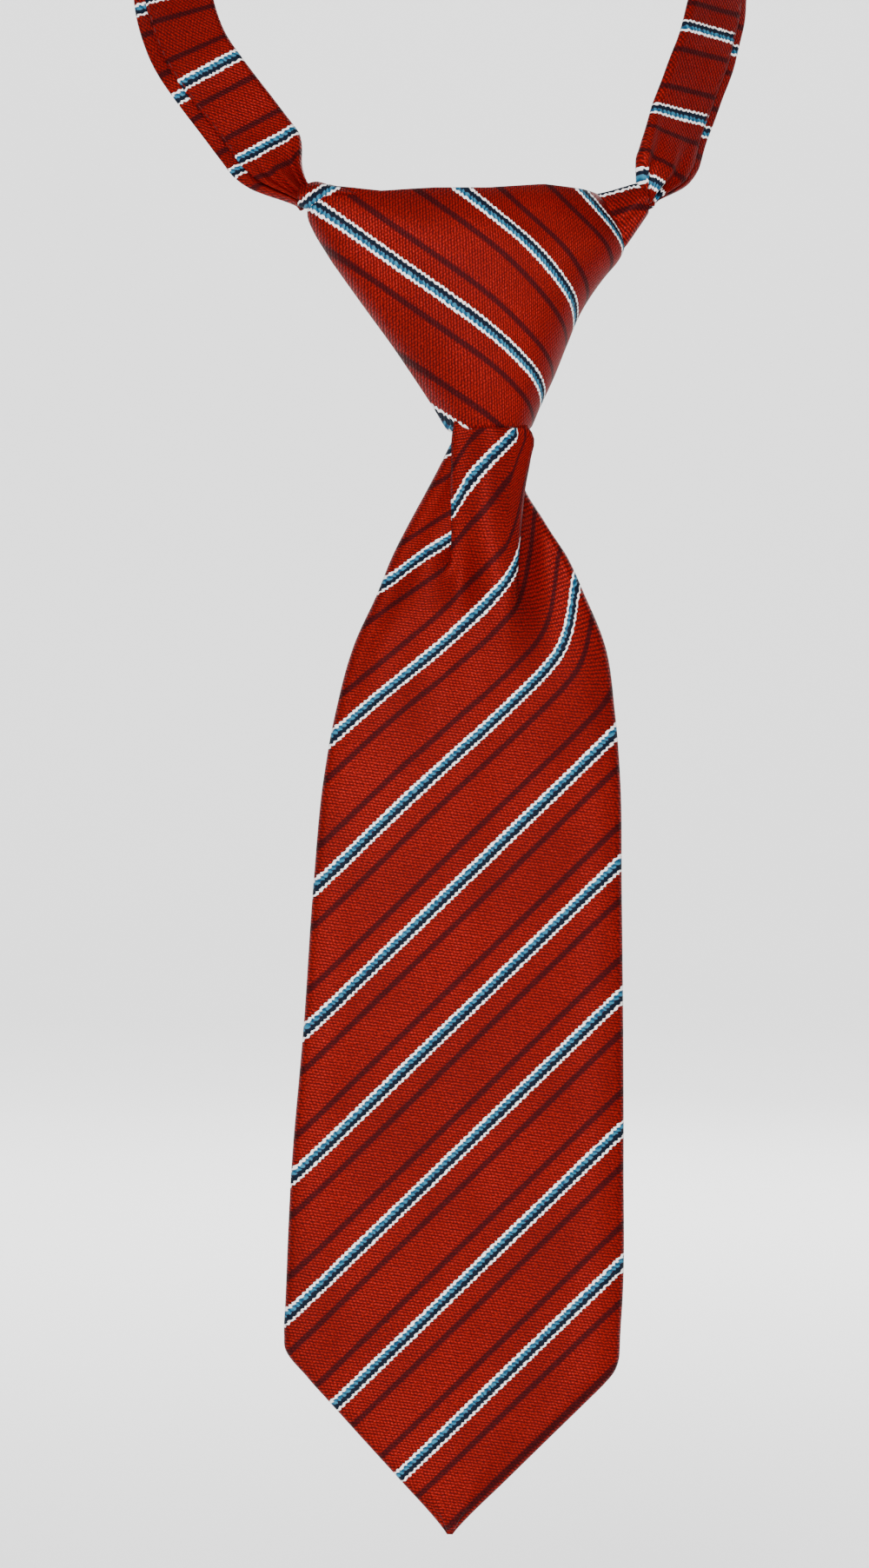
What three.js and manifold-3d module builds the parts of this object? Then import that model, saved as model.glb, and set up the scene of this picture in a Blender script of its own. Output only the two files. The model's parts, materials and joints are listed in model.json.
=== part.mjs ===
// A child's ready-tied necktie: a pleated blade hangs from a padded knot, and an
// adjustable neck band with a hook, an eye and a slider closes round the collar.
// Millimetres. +Z is up as it hangs, the front faces -Y, and the origin is the
// centre of the round neck opening.
import * as THREE from "three";
import { mergeVertices } from "three/addons/utils/BufferGeometryUtils.js";
import Module from "manifold-3d";

const wasm = await Module();
wasm.setup();

// ---------------------------------------------------------------- dimensions
const GAP = 0.3; // clearance between pieces that lie on each other

// The neck loop lies in one plane that leans back from upright. In that plane it
// is a circle joined to both top corners of the knot by straight tangents.
const LOOP_TILT = THREE.MathUtils.degToRad(68);
const LOOP_RADIUS = 54;
const LOOP_DEPTH = 58; // hinge line to the circle's centre, along the plane
const LEFT_PINCH_X = -29.2; // where each band is gathered into the knot
const RIGHT_PINCH_X = 41.8;
const PINCH_CLEAR = 0.25; // each side of the gather, so that the knot can tilt

const BAND_WIDTH = 17;
const BAND_THICK = 2.2;
const BAND_STEP = 4; // between the sections of a band
const BAND_WALL = 0.5;
const BAND_ROLL_LEFT = 6; // degrees from lying in the loop's plane, at the knot
const BAND_ROLL_RIGHT = 45;
const BAND_ROLL_BACK = 90; // standing up round the nape
const ROLL_START = 30; // along the band from the knot
const ROLL_LENGTH = 62;
const GATHER_WIDTH = 5;
const GATHER_LENGTH = 13;
const STIFFENER_THICK = 0.6;
const STIFFENER_WIDTH = 15;
const TOPSTITCH_INSET = 2.6; // from the band's outer edge
const THREAD_RADIUS = 0.22;

// Places along the back of the loop, in degrees round its circle: 0 is the
// wearer's side at +X and 90 is the nape.
const LEFT_BAND_END = 112;
const RIGHT_BAND_END = 40;
const EYE_BAR_ANGLE = 101;
const HOOK_BAR_ANGLE = 82;
const SLIDER_ANGLE = 58;
const STRAP_SPLIT = 77; // the strap's returning run starts here

const STRAP_WIDTH = 12;
const STRAP_THICK = 0.8;
const TURN_RADIUS = 1.4; // of the webbing's middle round a bar
const METAL = 1.2; // wire and plate thickness of the hardware
const HARDWARE_HEIGHT = 15.6;
const EYE_LENGTH = 9;
const HOOK_OFFSET = 2.8; // the hook's plate lies this far outside its bar
const HOOK_PLATE_START = 1.2;
const HOOK_PLATE_END = 6.4;
const HOOK_REACH = 11.8;
const HOOK_LIP = 1.6;
const SLIDER_LENGTH = 10.8;
const SLIDER_BAR_DEPTH = 2.5; // the middle bar, in from the strap

// The knot and blade share a frame whose origin is on the hinge line.
const KNOT_X = 6; // the knot sits this far to the side of the loop's centre
const HINGE_DROP = 1.8; // hinge line below the knot's top edge
const WRAP_WALL = 1.1;
const CORE_BOTTOM = -35;
const KNOT_BACK = 8;
// [height, left, right, front, back] of the knot's outside, from the top down
const KNOT_SECTIONS = [
  [0, -31.5, 24.5, -7.4, KNOT_BACK],
  [-4, -33.4, 27.8, -9.4, KNOT_BACK],
  [-8, -32.9, 29.8, -10.6, KNOT_BACK],
  [-13, -29.8, 30.4, -11.2, KNOT_BACK],
  [-21, -24.4, 24.6, -11.4, KNOT_BACK],
  [-28, -19.3, 20.5, -11, 7.6],
  [-35, -14.2, 17.8, -10.2, 7.1],
  [-42, -9.8, 14.9, -9, 6.6],
  [-49.5, -5.1, 11.9, -7.6, 6],
];
// [across, height] of the corners of the panel that closes the knot's back
const BACK_PANEL = [
  [-19, -5],
  [17, -5],
  [9, -36],
  [-3, -36],
];
const BACK_PANEL_THICK = 1.6;
const BACK_PANEL_PROUD = 0.6; // it stands this far out from the wrap
const BACK_PANEL_RECESS = 6; // depth of the opening in the wrap behind it
// [across, bottom, top, front, back] of the gathered cloth at each top corner
const LEFT_WING = [
  [-22, -4, 1.4, -3, 6],
  [-30, -4.4, 1.8, -4.4, 5],
  [LEFT_PINCH_X - KNOT_X + PINCH_CLEAR, -4.2, 0.6, -2.4, 2.4],
];
const RIGHT_WING = [
  [18, -10, 0.2, -5, 6],
  [28, -12, 1.2, -6, 5.5],
  [31.8, -10.6, 1.4, -4.6, 4.4],
  [RIGHT_PINCH_X - KNOT_X - PINCH_CLEAR, -4.4, 0.8, -2.4, 2.4],
];
const TACK_Z = -39.5; // the stitch that closes the wrap's back
const TACK_LEFT = -2;
const TACK_RIGHT = 8;
const TACK_HEIGHT = 1.2;
const TACK_THICK = 0.5;

const TOP_FOLD_THICK = 1.2; // cloth over the knot's top
const HEAD_TOP = -38; // the end of the blade that is caught in the knot
const HEAD_BOTTOM = -48.6;
const BLADE_TOP = -50;
const BLADE_BACK = 1.6; // the plane of the blade's flat back
const THROAT_RADIUS = 4.2; // the blade's top is rounded about its own hinge
const THROAT_Y = BLADE_BACK - THROAT_RADIUS;
const THROAT_Z = BLADE_TOP - THROAT_RADIUS;
const CORNER_Z = -244;
const TIP_X = -4.9;
const TIP_Z = -280.3;
const SHELL_WALL = 0.6;
const SEAM_GAP = 1;
const SEAM_END = -196; // below this the two back flaps part over the lining
const FLAP_PART = 21; // half the gap between the flaps at the corners
const HEM = 6; // width of the turned hem along the tip
const LINING_TOP = -184;
const LINING_THICK = 0.4;
const SEAM_TOP = -66; // the first of the slip stitches
const SEAM_STITCH = 8; // from one stitch to the next
const BAR_TACK_WIDTH = 6.4;
const BAR_TACK_BOTTOM = SEAM_END + 0.6;
const BAR_TACK_TOP = SEAM_END + 1.9;
const BAR_TACK_THICK = 0.6;
const LABEL_TOP = -166;
const LABEL_BOTTOM = -187;
const LABEL_ASIDE = 2; // from the seam to the label's nearer edge
const LABEL_WIDTH = 13;
const LABEL_THICK = 0.5;
// [height, left, right, thickness] of the blade's outside, from the knot down
const BLADE_SECTIONS = [
  [BLADE_TOP, -3.4, 11.6, 2 * THROAT_RADIUS],
  [-58, -5.8, 11.2, 8.1],
  [-64, -9.6, 12, 9.4],
  [-73, -14.6, 17.3, 10.2],
  [-80, -18.2, 20.5, 9.8],
  [-88, -21.8, 24.4, 9],
  [-97, -25.2, 27.4, 8],
  [-109, -28.3, 29.3, 6.8],
  [-122, -30.6, 30.3, 5.6],
  [-136, -32.4, 30.7, 4.8],
  [-155, -33.8, 30.8, 4.3],
  [-176, -35.1, 30.9, 4],
  [SEAM_END, -36.6, 31, 3.9],
  [-212, -37.6, 31, 3.8],
  [-228, -38.5, 30.9, 3.7],
  [-240, -39, 30.5, 3.7],
];

// ---------------------------------------------------------- making the solids
const mix = (a, b, t) => a + (b - a) * t;
const smooth = (t) => {
  const c = Math.min(1, Math.max(0, t));
  return c * c * (3 - 2 * c);
};

function toSolid(geometry) {
  const bare = new THREE.BufferGeometry();
  bare.setAttribute("position", geometry.getAttribute("position"));
  if (geometry.index) bare.setIndex(geometry.index);
  const merged = mergeVertices(bare, 1e-4);
  return new wasm.Manifold(
    new wasm.Mesh({
      numProp: 3,
      vertProperties: merged.attributes.position.array,
      triVerts: new Uint32Array(merged.index.array),
    }),
  );
}

function toGeometry(solid) {
  const mesh = solid.getMesh();
  const corners = new Float32Array(mesh.numVert * 3);
  for (let i = 0; i < mesh.numVert; i++) {
    const at = i * mesh.numProp;
    corners.set(mesh.vertProperties.subarray(at, at + 3), i * 3);
  }
  const geometry = new THREE.BufferGeometry();
  geometry.setAttribute("position", new THREE.BufferAttribute(corners, 3));
  geometry.setIndex(new THREE.BufferAttribute(mesh.triVerts, 1));
  return geometry;
}

// A closed solid through rings of points, each ring an outline with the same
// number of points. The end rings are closed as plane shapes seen through
// `flat`, or as plain convex fans without it.
function loft(rings, flat) {
  const count = rings[0].length;
  const faces = [];
  for (let i = 0; i + 1 < rings.length; i++) {
    for (let j = 0; j < count; j++) {
      const a = i * count + j;
      const b = i * count + ((j + 1) % count);
      faces.push(a, b, b + count, a, b + count, a + count);
    }
  }
  const cap = (ring) => {
    if (flat) return THREE.ShapeUtils.triangulateShape(ring.map(flat), []);
    return ring.slice(2).map((_, i) => [0, i + 1, i + 2]);
  };
  const [first, last] = [rings[0], rings.at(-1)];
  const base = (rings.length - 1) * count;
  const turned = flat && THREE.ShapeUtils.isClockWise(first.map(flat));
  const endTurned = flat && THREE.ShapeUtils.isClockWise(last.map(flat));
  for (const [a, b, c] of cap(first)) {
    faces.push(...(turned ? [a, b, c] : [a, c, b]));
  }
  for (const [a, b, c] of cap(last)) {
    const [d, e, f] = [base + a, base + b, base + c];
    faces.push(...(endTurned ? [d, f, e] : [d, e, f]));
  }
  const geometry = new THREE.BufferGeometry();
  const corners = rings.flat().flatMap((p) => p.toArray());
  geometry.setAttribute("position", new THREE.Float32BufferAttribute(corners, 3));
  geometry.setIndex(faces);
  return facingOut(geometry);
}

const seenFromAbove = (p) => new THREE.Vector2(p.x, p.y);

// The geometry with its faces turned round if they point inwards.
function facingOut(geometry) {
  const p = geometry.getAttribute("position");
  const index = geometry.index.array;
  const [a, b, c] = [0, 1, 2].map(() => new THREE.Vector3());
  let volume = 0;
  for (let i = 0; i < index.length; i += 3) {
    a.fromBufferAttribute(p, index[i]);
    b.fromBufferAttribute(p, index[i + 1]);
    c.fromBufferAttribute(p, index[i + 2]);
    volume += a.dot(b.cross(c));
  }
  if (volume < 0) {
    for (let i = 0; i < index.length; i += 3) {
      [index[i + 1], index[i + 2]] = [index[i + 2], index[i + 1]];
    }
  }
  return geometry;
}

function box(low, high) {
  const size = low.map((v, i) => high[i] - v);
  const middle = low.map((v, i) => (high[i] + v) / 2);
  return new THREE.BoxGeometry(...size).translate(...middle);
}

const minus = (geometry, ...cutters) =>
  toGeometry(
    cutters.reduce((left, c) => left.subtract(toSolid(c)), toSolid(geometry)),
  );

const joined = (...pieces) =>
  toGeometry(pieces.map(toSolid).reduce((all, piece) => all.add(piece)));

// ------------------------------------------------------------- the neck loop
// A place in the loop's plane: x across, v back from the hinge line.
const hingePlace = new THREE.Vector3(
  0,
  -LOOP_DEPTH * Math.cos(LOOP_TILT),
  -LOOP_DEPTH * Math.sin(LOOP_TILT),
);
const loopUp = new THREE.Vector3(0, -Math.sin(LOOP_TILT), Math.cos(LOOP_TILT));
const inPlane = (x, v) =>
  new THREE.Vector3(x, v * Math.cos(LOOP_TILT), v * Math.sin(LOOP_TILT));
const loopPoint = (x, v) => inPlane(x, v).add(hingePlace);

// One side of the loop: a tangent from the gather, then the circle.
function bandPath(pinchX, side) {
  const reach = Math.hypot(pinchX, LOOP_DEPTH);
  const straight = Math.sqrt(reach ** 2 - LOOP_RADIUS ** 2);
  const towards = Math.atan2(LOOP_DEPTH, -pinchX);
  const heading = towards - side * Math.asin(LOOP_RADIUS / reach);
  const startAngle = heading - (side * Math.PI) / 2;
  const lengthTo = (degrees) => {
    const turn = THREE.MathUtils.degToRad(degrees) - startAngle;
    const wrapped = THREE.MathUtils.euclideanModulo(side * turn, 2 * Math.PI);
    return straight + wrapped * LOOP_RADIUS;
  };
  // place, direction along the band and direction towards the neck at `s` mm
  const at = (s, offset = 0) => {
    const onArc = Math.max(0, s - straight) / LOOP_RADIUS;
    const angle = heading + side * onArc;
    const along = inPlane(Math.cos(angle), Math.sin(angle));
    const inward = inPlane(-side * Math.sin(angle), side * Math.cos(angle));
    const run = Math.min(s, straight);
    const place = onArc
      ? loopPoint(0, LOOP_DEPTH).addScaledVector(inward, -LOOP_RADIUS)
      : loopPoint(
          pinchX + run * Math.cos(heading),
          run * Math.sin(heading),
        );
    return { place: place.addScaledVector(inward, offset), along, inward };
  };
  return { at, lengthTo, straight };
}

const leftPath = bandPath(LEFT_PINCH_X, -1);
const rightPath = bandPath(RIGHT_PINCH_X, 1);

// The band's width direction turns from nearly flat at the knot to upright.
function widthDirection(path, s, rollAtKnot) {
  const { inward } = path.at(s);
  const t = smooth((s - ROLL_START) / ROLL_LENGTH);
  const roll = THREE.MathUtils.degToRad(mix(rollAtKnot, BAND_ROLL_BACK, t));
  return inward
    .clone()
    .multiplyScalar(Math.cos(roll))
    .addScaledVector(loopUp, Math.sin(roll));
}

// A rounded strip section, u across the width and w through the thickness.
function stripSection(width, thick) {
  const [u, w, c] = [width / 2, thick / 2, Math.min(thick / 2, 0.5)];
  return [
    [-u + c, -w],
    [u - c, -w],
    [u, 0],
    [u - c, w],
    [-u + c, w],
    [-u, 0],
  ];
}

// Places along a band: its two ends, and every whole step between them, so that
// pieces that lie on each other twist alike.
function stations(from, to) {
  const first = Math.floor(from / BAND_STEP + 1.2) * BAND_STEP;
  const places = [from];
  for (let s = first; s < to - BAND_STEP * 0.2; s += BAND_STEP) places.push(s);
  return [...places, to];
}

// A strip swept along a band path, `sizes(s)` giving its width and thickness.
function sweptStrip(path, roll, from, to, sizes, shift = () => [0, 0]) {
  const rings = [];
  for (const s of stations(from, to)) {
    const { place, along } = path.at(s);
    const across = widthDirection(path, s, roll);
    const out = along.clone().cross(across).normalize();
    const [du, dw] = shift(s);
    rings.push(
      stripSection(...sizes(s)).map(([u, w]) =>
        place
          .clone()
          .addScaledVector(across, u + du)
          .addScaledVector(out, w + dw),
      ),
    );
  }
  return loft(rings);
}

const gathered = (s) => mix(GATHER_WIDTH, BAND_WIDTH, smooth(s / GATHER_LENGTH));

function band(path, roll, end) {
  const outer = sweptStrip(path, roll, -0.5, end, (s) => [
    gathered(s),
    BAND_THICK,
  ]);
  const bore = sweptStrip(path, roll, GATHER_LENGTH, end + 2, () => [
    BAND_WIDTH - 2 * BAND_WALL,
    BAND_THICK - 2 * BAND_WALL,
  ]);
  return minus(outer, bore);
}

const stiffener = (path, roll, end) =>
  sweptStrip(path, roll, GATHER_LENGTH + 1, end, () => [
    STIFFENER_WIDTH,
    STIFFENER_THICK,
  ]);

// A thread laid in a row of stitches along the band's outer edge.
const topstitch = (path, roll, end) =>
  sweptStrip(
    path,
    roll,
    GATHER_LENGTH + 4,
    end,
    () => [2 * THREAD_RADIUS, THREAD_RADIUS],
    () => [
      -BAND_WIDTH / 2 + TOPSTITCH_INSET,
      -(BAND_THICK / 2 + THREAD_RADIUS / 2 + GAP),
    ],
  );

// ------------------------------------------------- the closure at the nape
// The loop's plane as a frame: x and y lie in the plane, z is up the band, and
// the origin is the centre of the loop's circle.
function placeInLoopPlane(group, origin = new THREE.Vector2(), degrees = 0) {
  const turn = THREE.MathUtils.degToRad(degrees);
  const x = inPlane(Math.cos(turn), Math.sin(turn));
  const y = inPlane(-Math.sin(turn), Math.cos(turn));
  group.quaternion.setFromRotationMatrix(
    new THREE.Matrix4().makeBasis(x, y, loopUp),
  );
  group.position.copy(loopPoint(origin.x, LOOP_DEPTH + origin.y));
  return group;
}

function polar(degrees, radius = LOOP_RADIUS) {
  const angle = THREE.MathUtils.degToRad(degrees);
  return new THREE.Vector2(Math.cos(angle), Math.sin(angle)).multiplyScalar(radius);
}

// Points along the circle, sliding evenly from one radius to another.
const arc = (from, to, radiusFrom = LOOP_RADIUS, radiusTo = radiusFrom) => {
  const steps = Math.max(2, Math.ceil(Math.abs(to - from) / 4));
  return Array.from({ length: steps + 1 }, (_, i) =>
    polar(mix(from, to, i / steps), mix(radiusFrom, radiusTo, i / steps)),
  );
};

// Half a turn round a bar, from its outer side to its inner side.
function aroundBar(degrees, radius, ahead) {
  const centre = polar(degrees, radius);
  return Array.from({ length: 7 }, (_, i) => {
    const turned = degrees + (ahead * 180 * i) / 6;
    return centre.clone().add(polar(turned, TURN_RADIUS));
  });
}

// Webbing of even thickness along a line of points in the loop's plane.
function webbing(points) {
  const sides = [1, -1].map((side) =>
    points.map((p, i) => {
      const before = points[Math.max(0, i - 1)];
      const after = points[Math.min(points.length - 1, i + 1)];
      const run = after.clone().sub(before).normalize();
      const across = new THREE.Vector2(-run.y, run.x);
      return p.clone().addScaledVector(across, (side * STRAP_THICK) / 2);
    }),
  );
  const outline = new THREE.Shape([...sides[0], ...sides[1].reverse()]);
  return new THREE.ExtrudeGeometry(outline, {
    depth: STRAP_WIDTH,
    bevelEnabled: false,
  }).translate(0, 0, -STRAP_WIDTH / 2);
}

// Hardware frames stand at a bar: x points round the loop towards the left
// band, y points in to the neck and z is up the band.
const hardwareFrame = (degrees, radius) =>
  placeInLoopPlane(new THREE.Group(), polar(degrees, radius), degrees + 90);

// The eye: a rectangular wire ring with the webbing's bar at the origin.
function eyeGeometry() {
  const half = HARDWARE_HEIGHT / 2;
  const w = METAL / 2;
  const bar = (x) => box([x - w, -w, -half], [x + w, w, half]);
  const rail = (z) => box([-EYE_LENGTH, -w, z - w], [0, w, z + w]);
  return joined(bar(0), bar(-EYE_LENGTH), rail(half - w), rail(w - half));
}

// The hook: its bar is held by the strap, its plate lies outside the eye and
// its tongue turns in behind the eye's outer bar.
function hookGeometry() {
  const half = HARDWARE_HEIGHT / 2;
  const w = METAL / 2;
  const out = -HOOK_OFFSET;
  const tongue = 3.4;
  const lip = HOOK_REACH - METAL;
  return joined(
    box([-w, -w, -half], [w, w, half]),
    ...[half - w, w - half].map((z) =>
      box([-w, out - w, z - w], [w + 1.2, w, z + w]),
    ),
    box([HOOK_PLATE_START, out - w, -half], [HOOK_PLATE_END, out + w, half]),
    box([HOOK_PLATE_END - 1, out - w, -tongue], [HOOK_REACH, out + w, tongue]),
    box([lip, out - w, -tongue], [HOOK_REACH, HOOK_LIP, tongue]),
  );
}

// The slider: side bars outside the strap and a middle bar inside it.
function sliderGeometry() {
  const half = STRAP_WIDTH / 2 + 0.5 + METAL;
  const w = METAL / 2;
  const outside = -(STRAP_THICK / 2 + GAP + w);
  const bar = (x, y) => box([x - w, y - w, -half], [x + w, y + w, half]);
  const rail = (z) =>
    box(
      [-SLIDER_LENGTH / 2, outside - w, z - w],
      [SLIDER_LENGTH / 2, SLIDER_BAR_DEPTH + w, z + w],
    );
  return joined(
    bar(w - SLIDER_LENGTH / 2, outside),
    bar(SLIDER_LENGTH / 2 - w, outside),
    bar(0, SLIDER_BAR_DEPTH),
    rail(half - w),
    rail(w - half),
  );
}

// -------------------------------------------------------------------- the knot
// A rounded section with a flatter back, `count` points round it.
function knotSection([z, left, right, front, back], inset, count = 32) {
  const middle = (left + right) / 2;
  const halfWidth = (right - left) / 2 - inset;
  const depthAt = (sine) => (sine < 0 ? -front - inset : back - inset);
  const power = (v, e) => Math.sign(v) * Math.abs(v) ** e;
  return Array.from({ length: count }, (_, i) => {
    const a = (2 * Math.PI * i) / count;
    const sine = Math.sin(a);
    return new THREE.Vector3(
      middle + halfWidth * power(Math.cos(a), sine < 0 ? 0.8 : 0.55),
      depthAt(sine) * power(sine, sine < 0 ? 0.8 : 0.45),
      z,
    );
  });
}

const knotRings = (inset, sections = KNOT_SECTIONS) =>
  sections.map((section) => knotSection(section, inset));

function sectionAt(z) {
  const below = KNOT_SECTIONS.findIndex((section) => section[0] <= z);
  const [a, b] = [KNOT_SECTIONS[Math.max(0, below - 1)], KNOT_SECTIONS[below]];
  const t = a === b ? 0 : (z - a[0]) / (b[0] - a[0]);
  return a.map((v, i) => (i ? mix(v, b[i], t) : z));
}

const lengthened = (sections, up, down) => [
  [sections[0][0] + up, ...sections[0].slice(1)],
  ...sections.slice(1, -1),
  [sections.at(-1)[0] - down, ...sections.at(-1).slice(1)],
];

function wrapGeometry() {
  const bore = loft(knotRings(WRAP_WALL, lengthened(KNOT_SECTIONS, 1, 1)));
  return minus(loft(knotRings(0)), bore, backPanelRecess());
}

// The panel that closes the knot's back narrows downwards as the knot does.
// `grow` widens it all round, and it reaches in from `back` by `thick`.
function taperedPanel(grow, back, thick) {
  const [topLeft, topRight, bottomRight, bottomLeft] = BACK_PANEL;
  const shape = new THREE.Shape([
    new THREE.Vector2(topLeft[0] - grow, topLeft[1] + grow),
    new THREE.Vector2(topRight[0] + grow, topRight[1] + grow),
    new THREE.Vector2(bottomRight[0] + grow, bottomRight[1] - grow),
    new THREE.Vector2(bottomLeft[0] - grow, bottomLeft[1] - grow),
  ]);
  return new THREE.ExtrudeGeometry(shape, { depth: thick, bevelEnabled: false })
    .rotateX(Math.PI / 2)
    .translate(0, back, 0);
}

const PANEL_BACK = KNOT_BACK + BACK_PANEL_PROUD;
const backPanelGeometry = () => taperedPanel(0, PANEL_BACK, BACK_PANEL_THICK);
const backPanelRecess = () =>
  taperedPanel(GAP, PANEL_BACK + 1, BACK_PANEL_THICK + BACK_PANEL_RECESS);

// A filling of the wrap between two heights.
function fillingGeometry(top, bottom) {
  const sections = [
    sectionAt(top),
    ...KNOT_SECTIONS.filter(([z]) => z < top && z > bottom),
    sectionAt(bottom),
  ];
  return loft(knotRings(WRAP_WALL + GAP, sections));
}

const TACK_Y = sectionAt(TACK_Z)[4] + GAP;

// The fold of band cloth that shows between the wrap and each gather: a lofted
// wedge across X, cut back from the wrap. [x, low, high, front, back] sections.
function wingGeometry(sections) {
  const rings = sections.map(([x, low, high, front, back]) =>
    Array.from({ length: 14 }, (_, i) => {
      const a = (2 * Math.PI * i) / 14;
      return new THREE.Vector3(
        x,
        mix(front, back, 0.5 + Math.cos(a) / 2),
        mix(low, high, 0.5 + Math.sin(a) / 2),
      );
    }),
  );
  const wing = loft(rings);
  const wrap = loft(knotRings(-GAP, lengthened(KNOT_SECTIONS, 3, 0)));
  const largest = toSolid(wing)
    .subtract(toSolid(wrap))
    .decompose()
    .sort((a, b) => b.volume() - a.volume())[0];
  return toGeometry(largest);
}

// ------------------------------------------------------------------- the blade
function bladeAt(z) {
  const rows = BLADE_SECTIONS;
  if (z > rows.at(-1)[0]) {
    const below = rows.findIndex((row) => row[0] <= z);
    const [a, b] = [rows[Math.max(0, below - 1)], rows[below]];
    const t = a === b ? 0 : (z - a[0]) / (b[0] - a[0]);
    return { left: mix(a[1], b[1], t), right: mix(a[2], b[2], t), thick: mix(a[3], b[3], t) };
  }
  const [, cornerLeft, cornerRight, thick] = rows.at(-1);
  const t = Math.max(0, (CORNER_Z - z) / (CORNER_Z - TIP_Z));
  return {
    left: mix(cornerLeft, TIP_X, t),
    right: mix(cornerRight, TIP_X, t),
    thick: mix(thick, 2.6, t),
  };
}

// The folded section: front sheet, round edges and two back flaps that meet at
// the seam, as one closed outline with a hollow for the interlining.
function foldedSection(z) {
  const { left, right, thick } = bladeAt(z);
  const middle = mix(left, right, 0.5);
  const half = (right - left) / 2;
  const front = BLADE_BACK - thick;
  const radius = Math.min(thick / 2, half * 0.45);
  const parting =
    z > SEAM_END
      ? SEAM_GAP / 2
      : mix(SEAM_GAP / 2, FLAP_PART, smooth((SEAM_END - z) / (SEAM_END - CORNER_Z)));
  const gap = Math.max(SEAM_GAP / 2, Math.min(parting, half - HEM));
  const crown = Math.min(1.2, thick * 0.12);
  const outline = (inset, seam) => {
    const w = half - inset;
    const r = Math.max(0.2, radius - inset);
    const [f, b] = [front + inset, BLADE_BACK - inset];
    const points = [[seam, b]];
    points.push([Math.max(seam + 0.1, w - r), b]);
    points.push([w - r * 0.3, b - r * 0.3]);
    points.push([w, (f + b) / 2]);
    points.push([w - r * 0.3, f + r * 0.3]);
    points.push([w - r, f - crown * 0.2]);
    points.push([w * 0.45, f - crown]);
    return points;
  };
  const rightOuter = outline(0, gap);
  const rightInner = outline(SHELL_WALL, gap);
  const mirror = (points) => points.map(([x, y]) => [-x, y]).reverse();
  const ring = [
    ...rightOuter,
    ...mirror(rightOuter),
    ...mirror(rightInner).reverse(),
    ...rightInner.slice().reverse(),
  ];
  return ring.map(([x, y]) => new THREE.Vector3(middle + x, y, z));
}

const bladeHeights = (top, bottom, step) => {
  const heights = BLADE_SECTIONS.map(([z]) => z).filter(
    (z) => z < top && z > bottom,
  );
  for (let z = CORNER_Z; z > bottom; z -= step) if (z < top) heights.push(z);
  return [top, ...heights, bottom];
};

// The shell's top is rounded about the throat's axis, so that the blade can be
// lifted clear of the knot's mouth.
function shellGeometry() {
  const rings = bladeHeights(BLADE_TOP, TIP_Z + 1, 6).map(foldedSection);
  const round = new THREE.CylinderGeometry(THROAT_RADIUS, THROAT_RADIUS, 60, 32)
    .rotateZ(Math.PI / 2)
    .translate(0, THROAT_Y, THROAT_Z);
  const below = box([-80, -40, TIP_Z - 10], [80, 40, THROAT_Z]);
  const kept = toSolid(round).add(toSolid(below));
  return toGeometry(toSolid(loft(rings, seenFromAbove)).intersect(kept));
}

// A flat layer inside the fold, at a given depth from the blade's back.
function layerGeometry(top, bottom, margin, fromBack, thickAt) {
  const rings = bladeHeights(top, bottom, 9).map((z) => {
    const { left, right, thick } = bladeAt(z);
    const inset = Math.min(margin + thick * 0.3, (right - left) / 2 - 0.4);
    const back = BLADE_BACK - fromBack;
    const front = back - thickAt(thick);
    return [
      new THREE.Vector3(left + inset, back, z),
      new THREE.Vector3(left + inset, front, z),
      new THREE.Vector3(right - inset, front, z),
      new THREE.Vector3(right - inset, back, z),
    ];
  });
  return loft(rings);
}

const FLAP_INSIDE = SHELL_WALL + GAP;

const interliningGeometry = () =>
  layerGeometry(
    THROAT_Z,
    TIP_Z + 8,
    1.4,
    FLAP_INSIDE + LINING_THICK + GAP,
    (thick) => thick - 2 * FLAP_INSIDE - LINING_THICK - GAP,
  );

const liningGeometry = () =>
  layerGeometry(LINING_TOP, TIP_Z + 6, 1.2, FLAP_INSIDE, () => LINING_THICK);

const seamX = (z) => {
  const { left, right } = bladeAt(z);
  return (left + right) / 2;
};

// The slip stitch: a thread that crosses the seam from flap to flap.
function seamThreadGeometry() {
  const points = [];
  for (let z = SEAM_TOP, side = 1; z > SEAM_END + 3; z -= SEAM_STITCH, side = -side) {
    points.push(new THREE.Vector3(seamX(z) + side * 0.9, BLADE_BACK + 0.6, z));
  }
  const path = new THREE.CatmullRomCurve3(points, false, "centripetal");
  const section = new THREE.Shape();
  section.absellipse(0, 0, THREAD_RADIUS, THREAD_RADIUS, 0, 2 * Math.PI);
  return new THREE.ExtrudeGeometry(section, {
    steps: 34,
    curveSegments: 3,
    extrudePath: path,
    bevelEnabled: false,
  });
}

// --------------------------------------------------------------- the assembly
const CLOTH = { color: "#931e17", roughness: 0.62, metalness: 0 };
const LINING = { color: "#6f1613", roughness: 0.4, metalness: 0 };
const FELT = { color: "#e8e2d6", roughness: 0.95, metalness: 0 };
const THREAD = { color: "#7d1a15", roughness: 0.7, metalness: 0 };
const WEBBING = { color: "#5e1512", roughness: 0.8, metalness: 0 };
const NICKEL = { color: "#c9c9c6", roughness: 0.25, metalness: 1 };
const FORMER = { color: "#2b2b2d", roughness: 0.6, metalness: 0 };
const LABEL = { color: "#f1efe9", roughness: 0.5, metalness: 0 };

function piece(parent, name, geometry, look) {
  const mesh = new THREE.Mesh(geometry, new THREE.MeshStandardMaterial(look));
  mesh.name = name;
  parent.add(mesh);
  return mesh;
}

const necktie = new THREE.Group();

// The knot's and blade's own frame.
const front = new THREE.Group();
front.position.copy(hingePlace).add(new THREE.Vector3(KNOT_X, 0, HINGE_DROP));
necktie.add(front);

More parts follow.
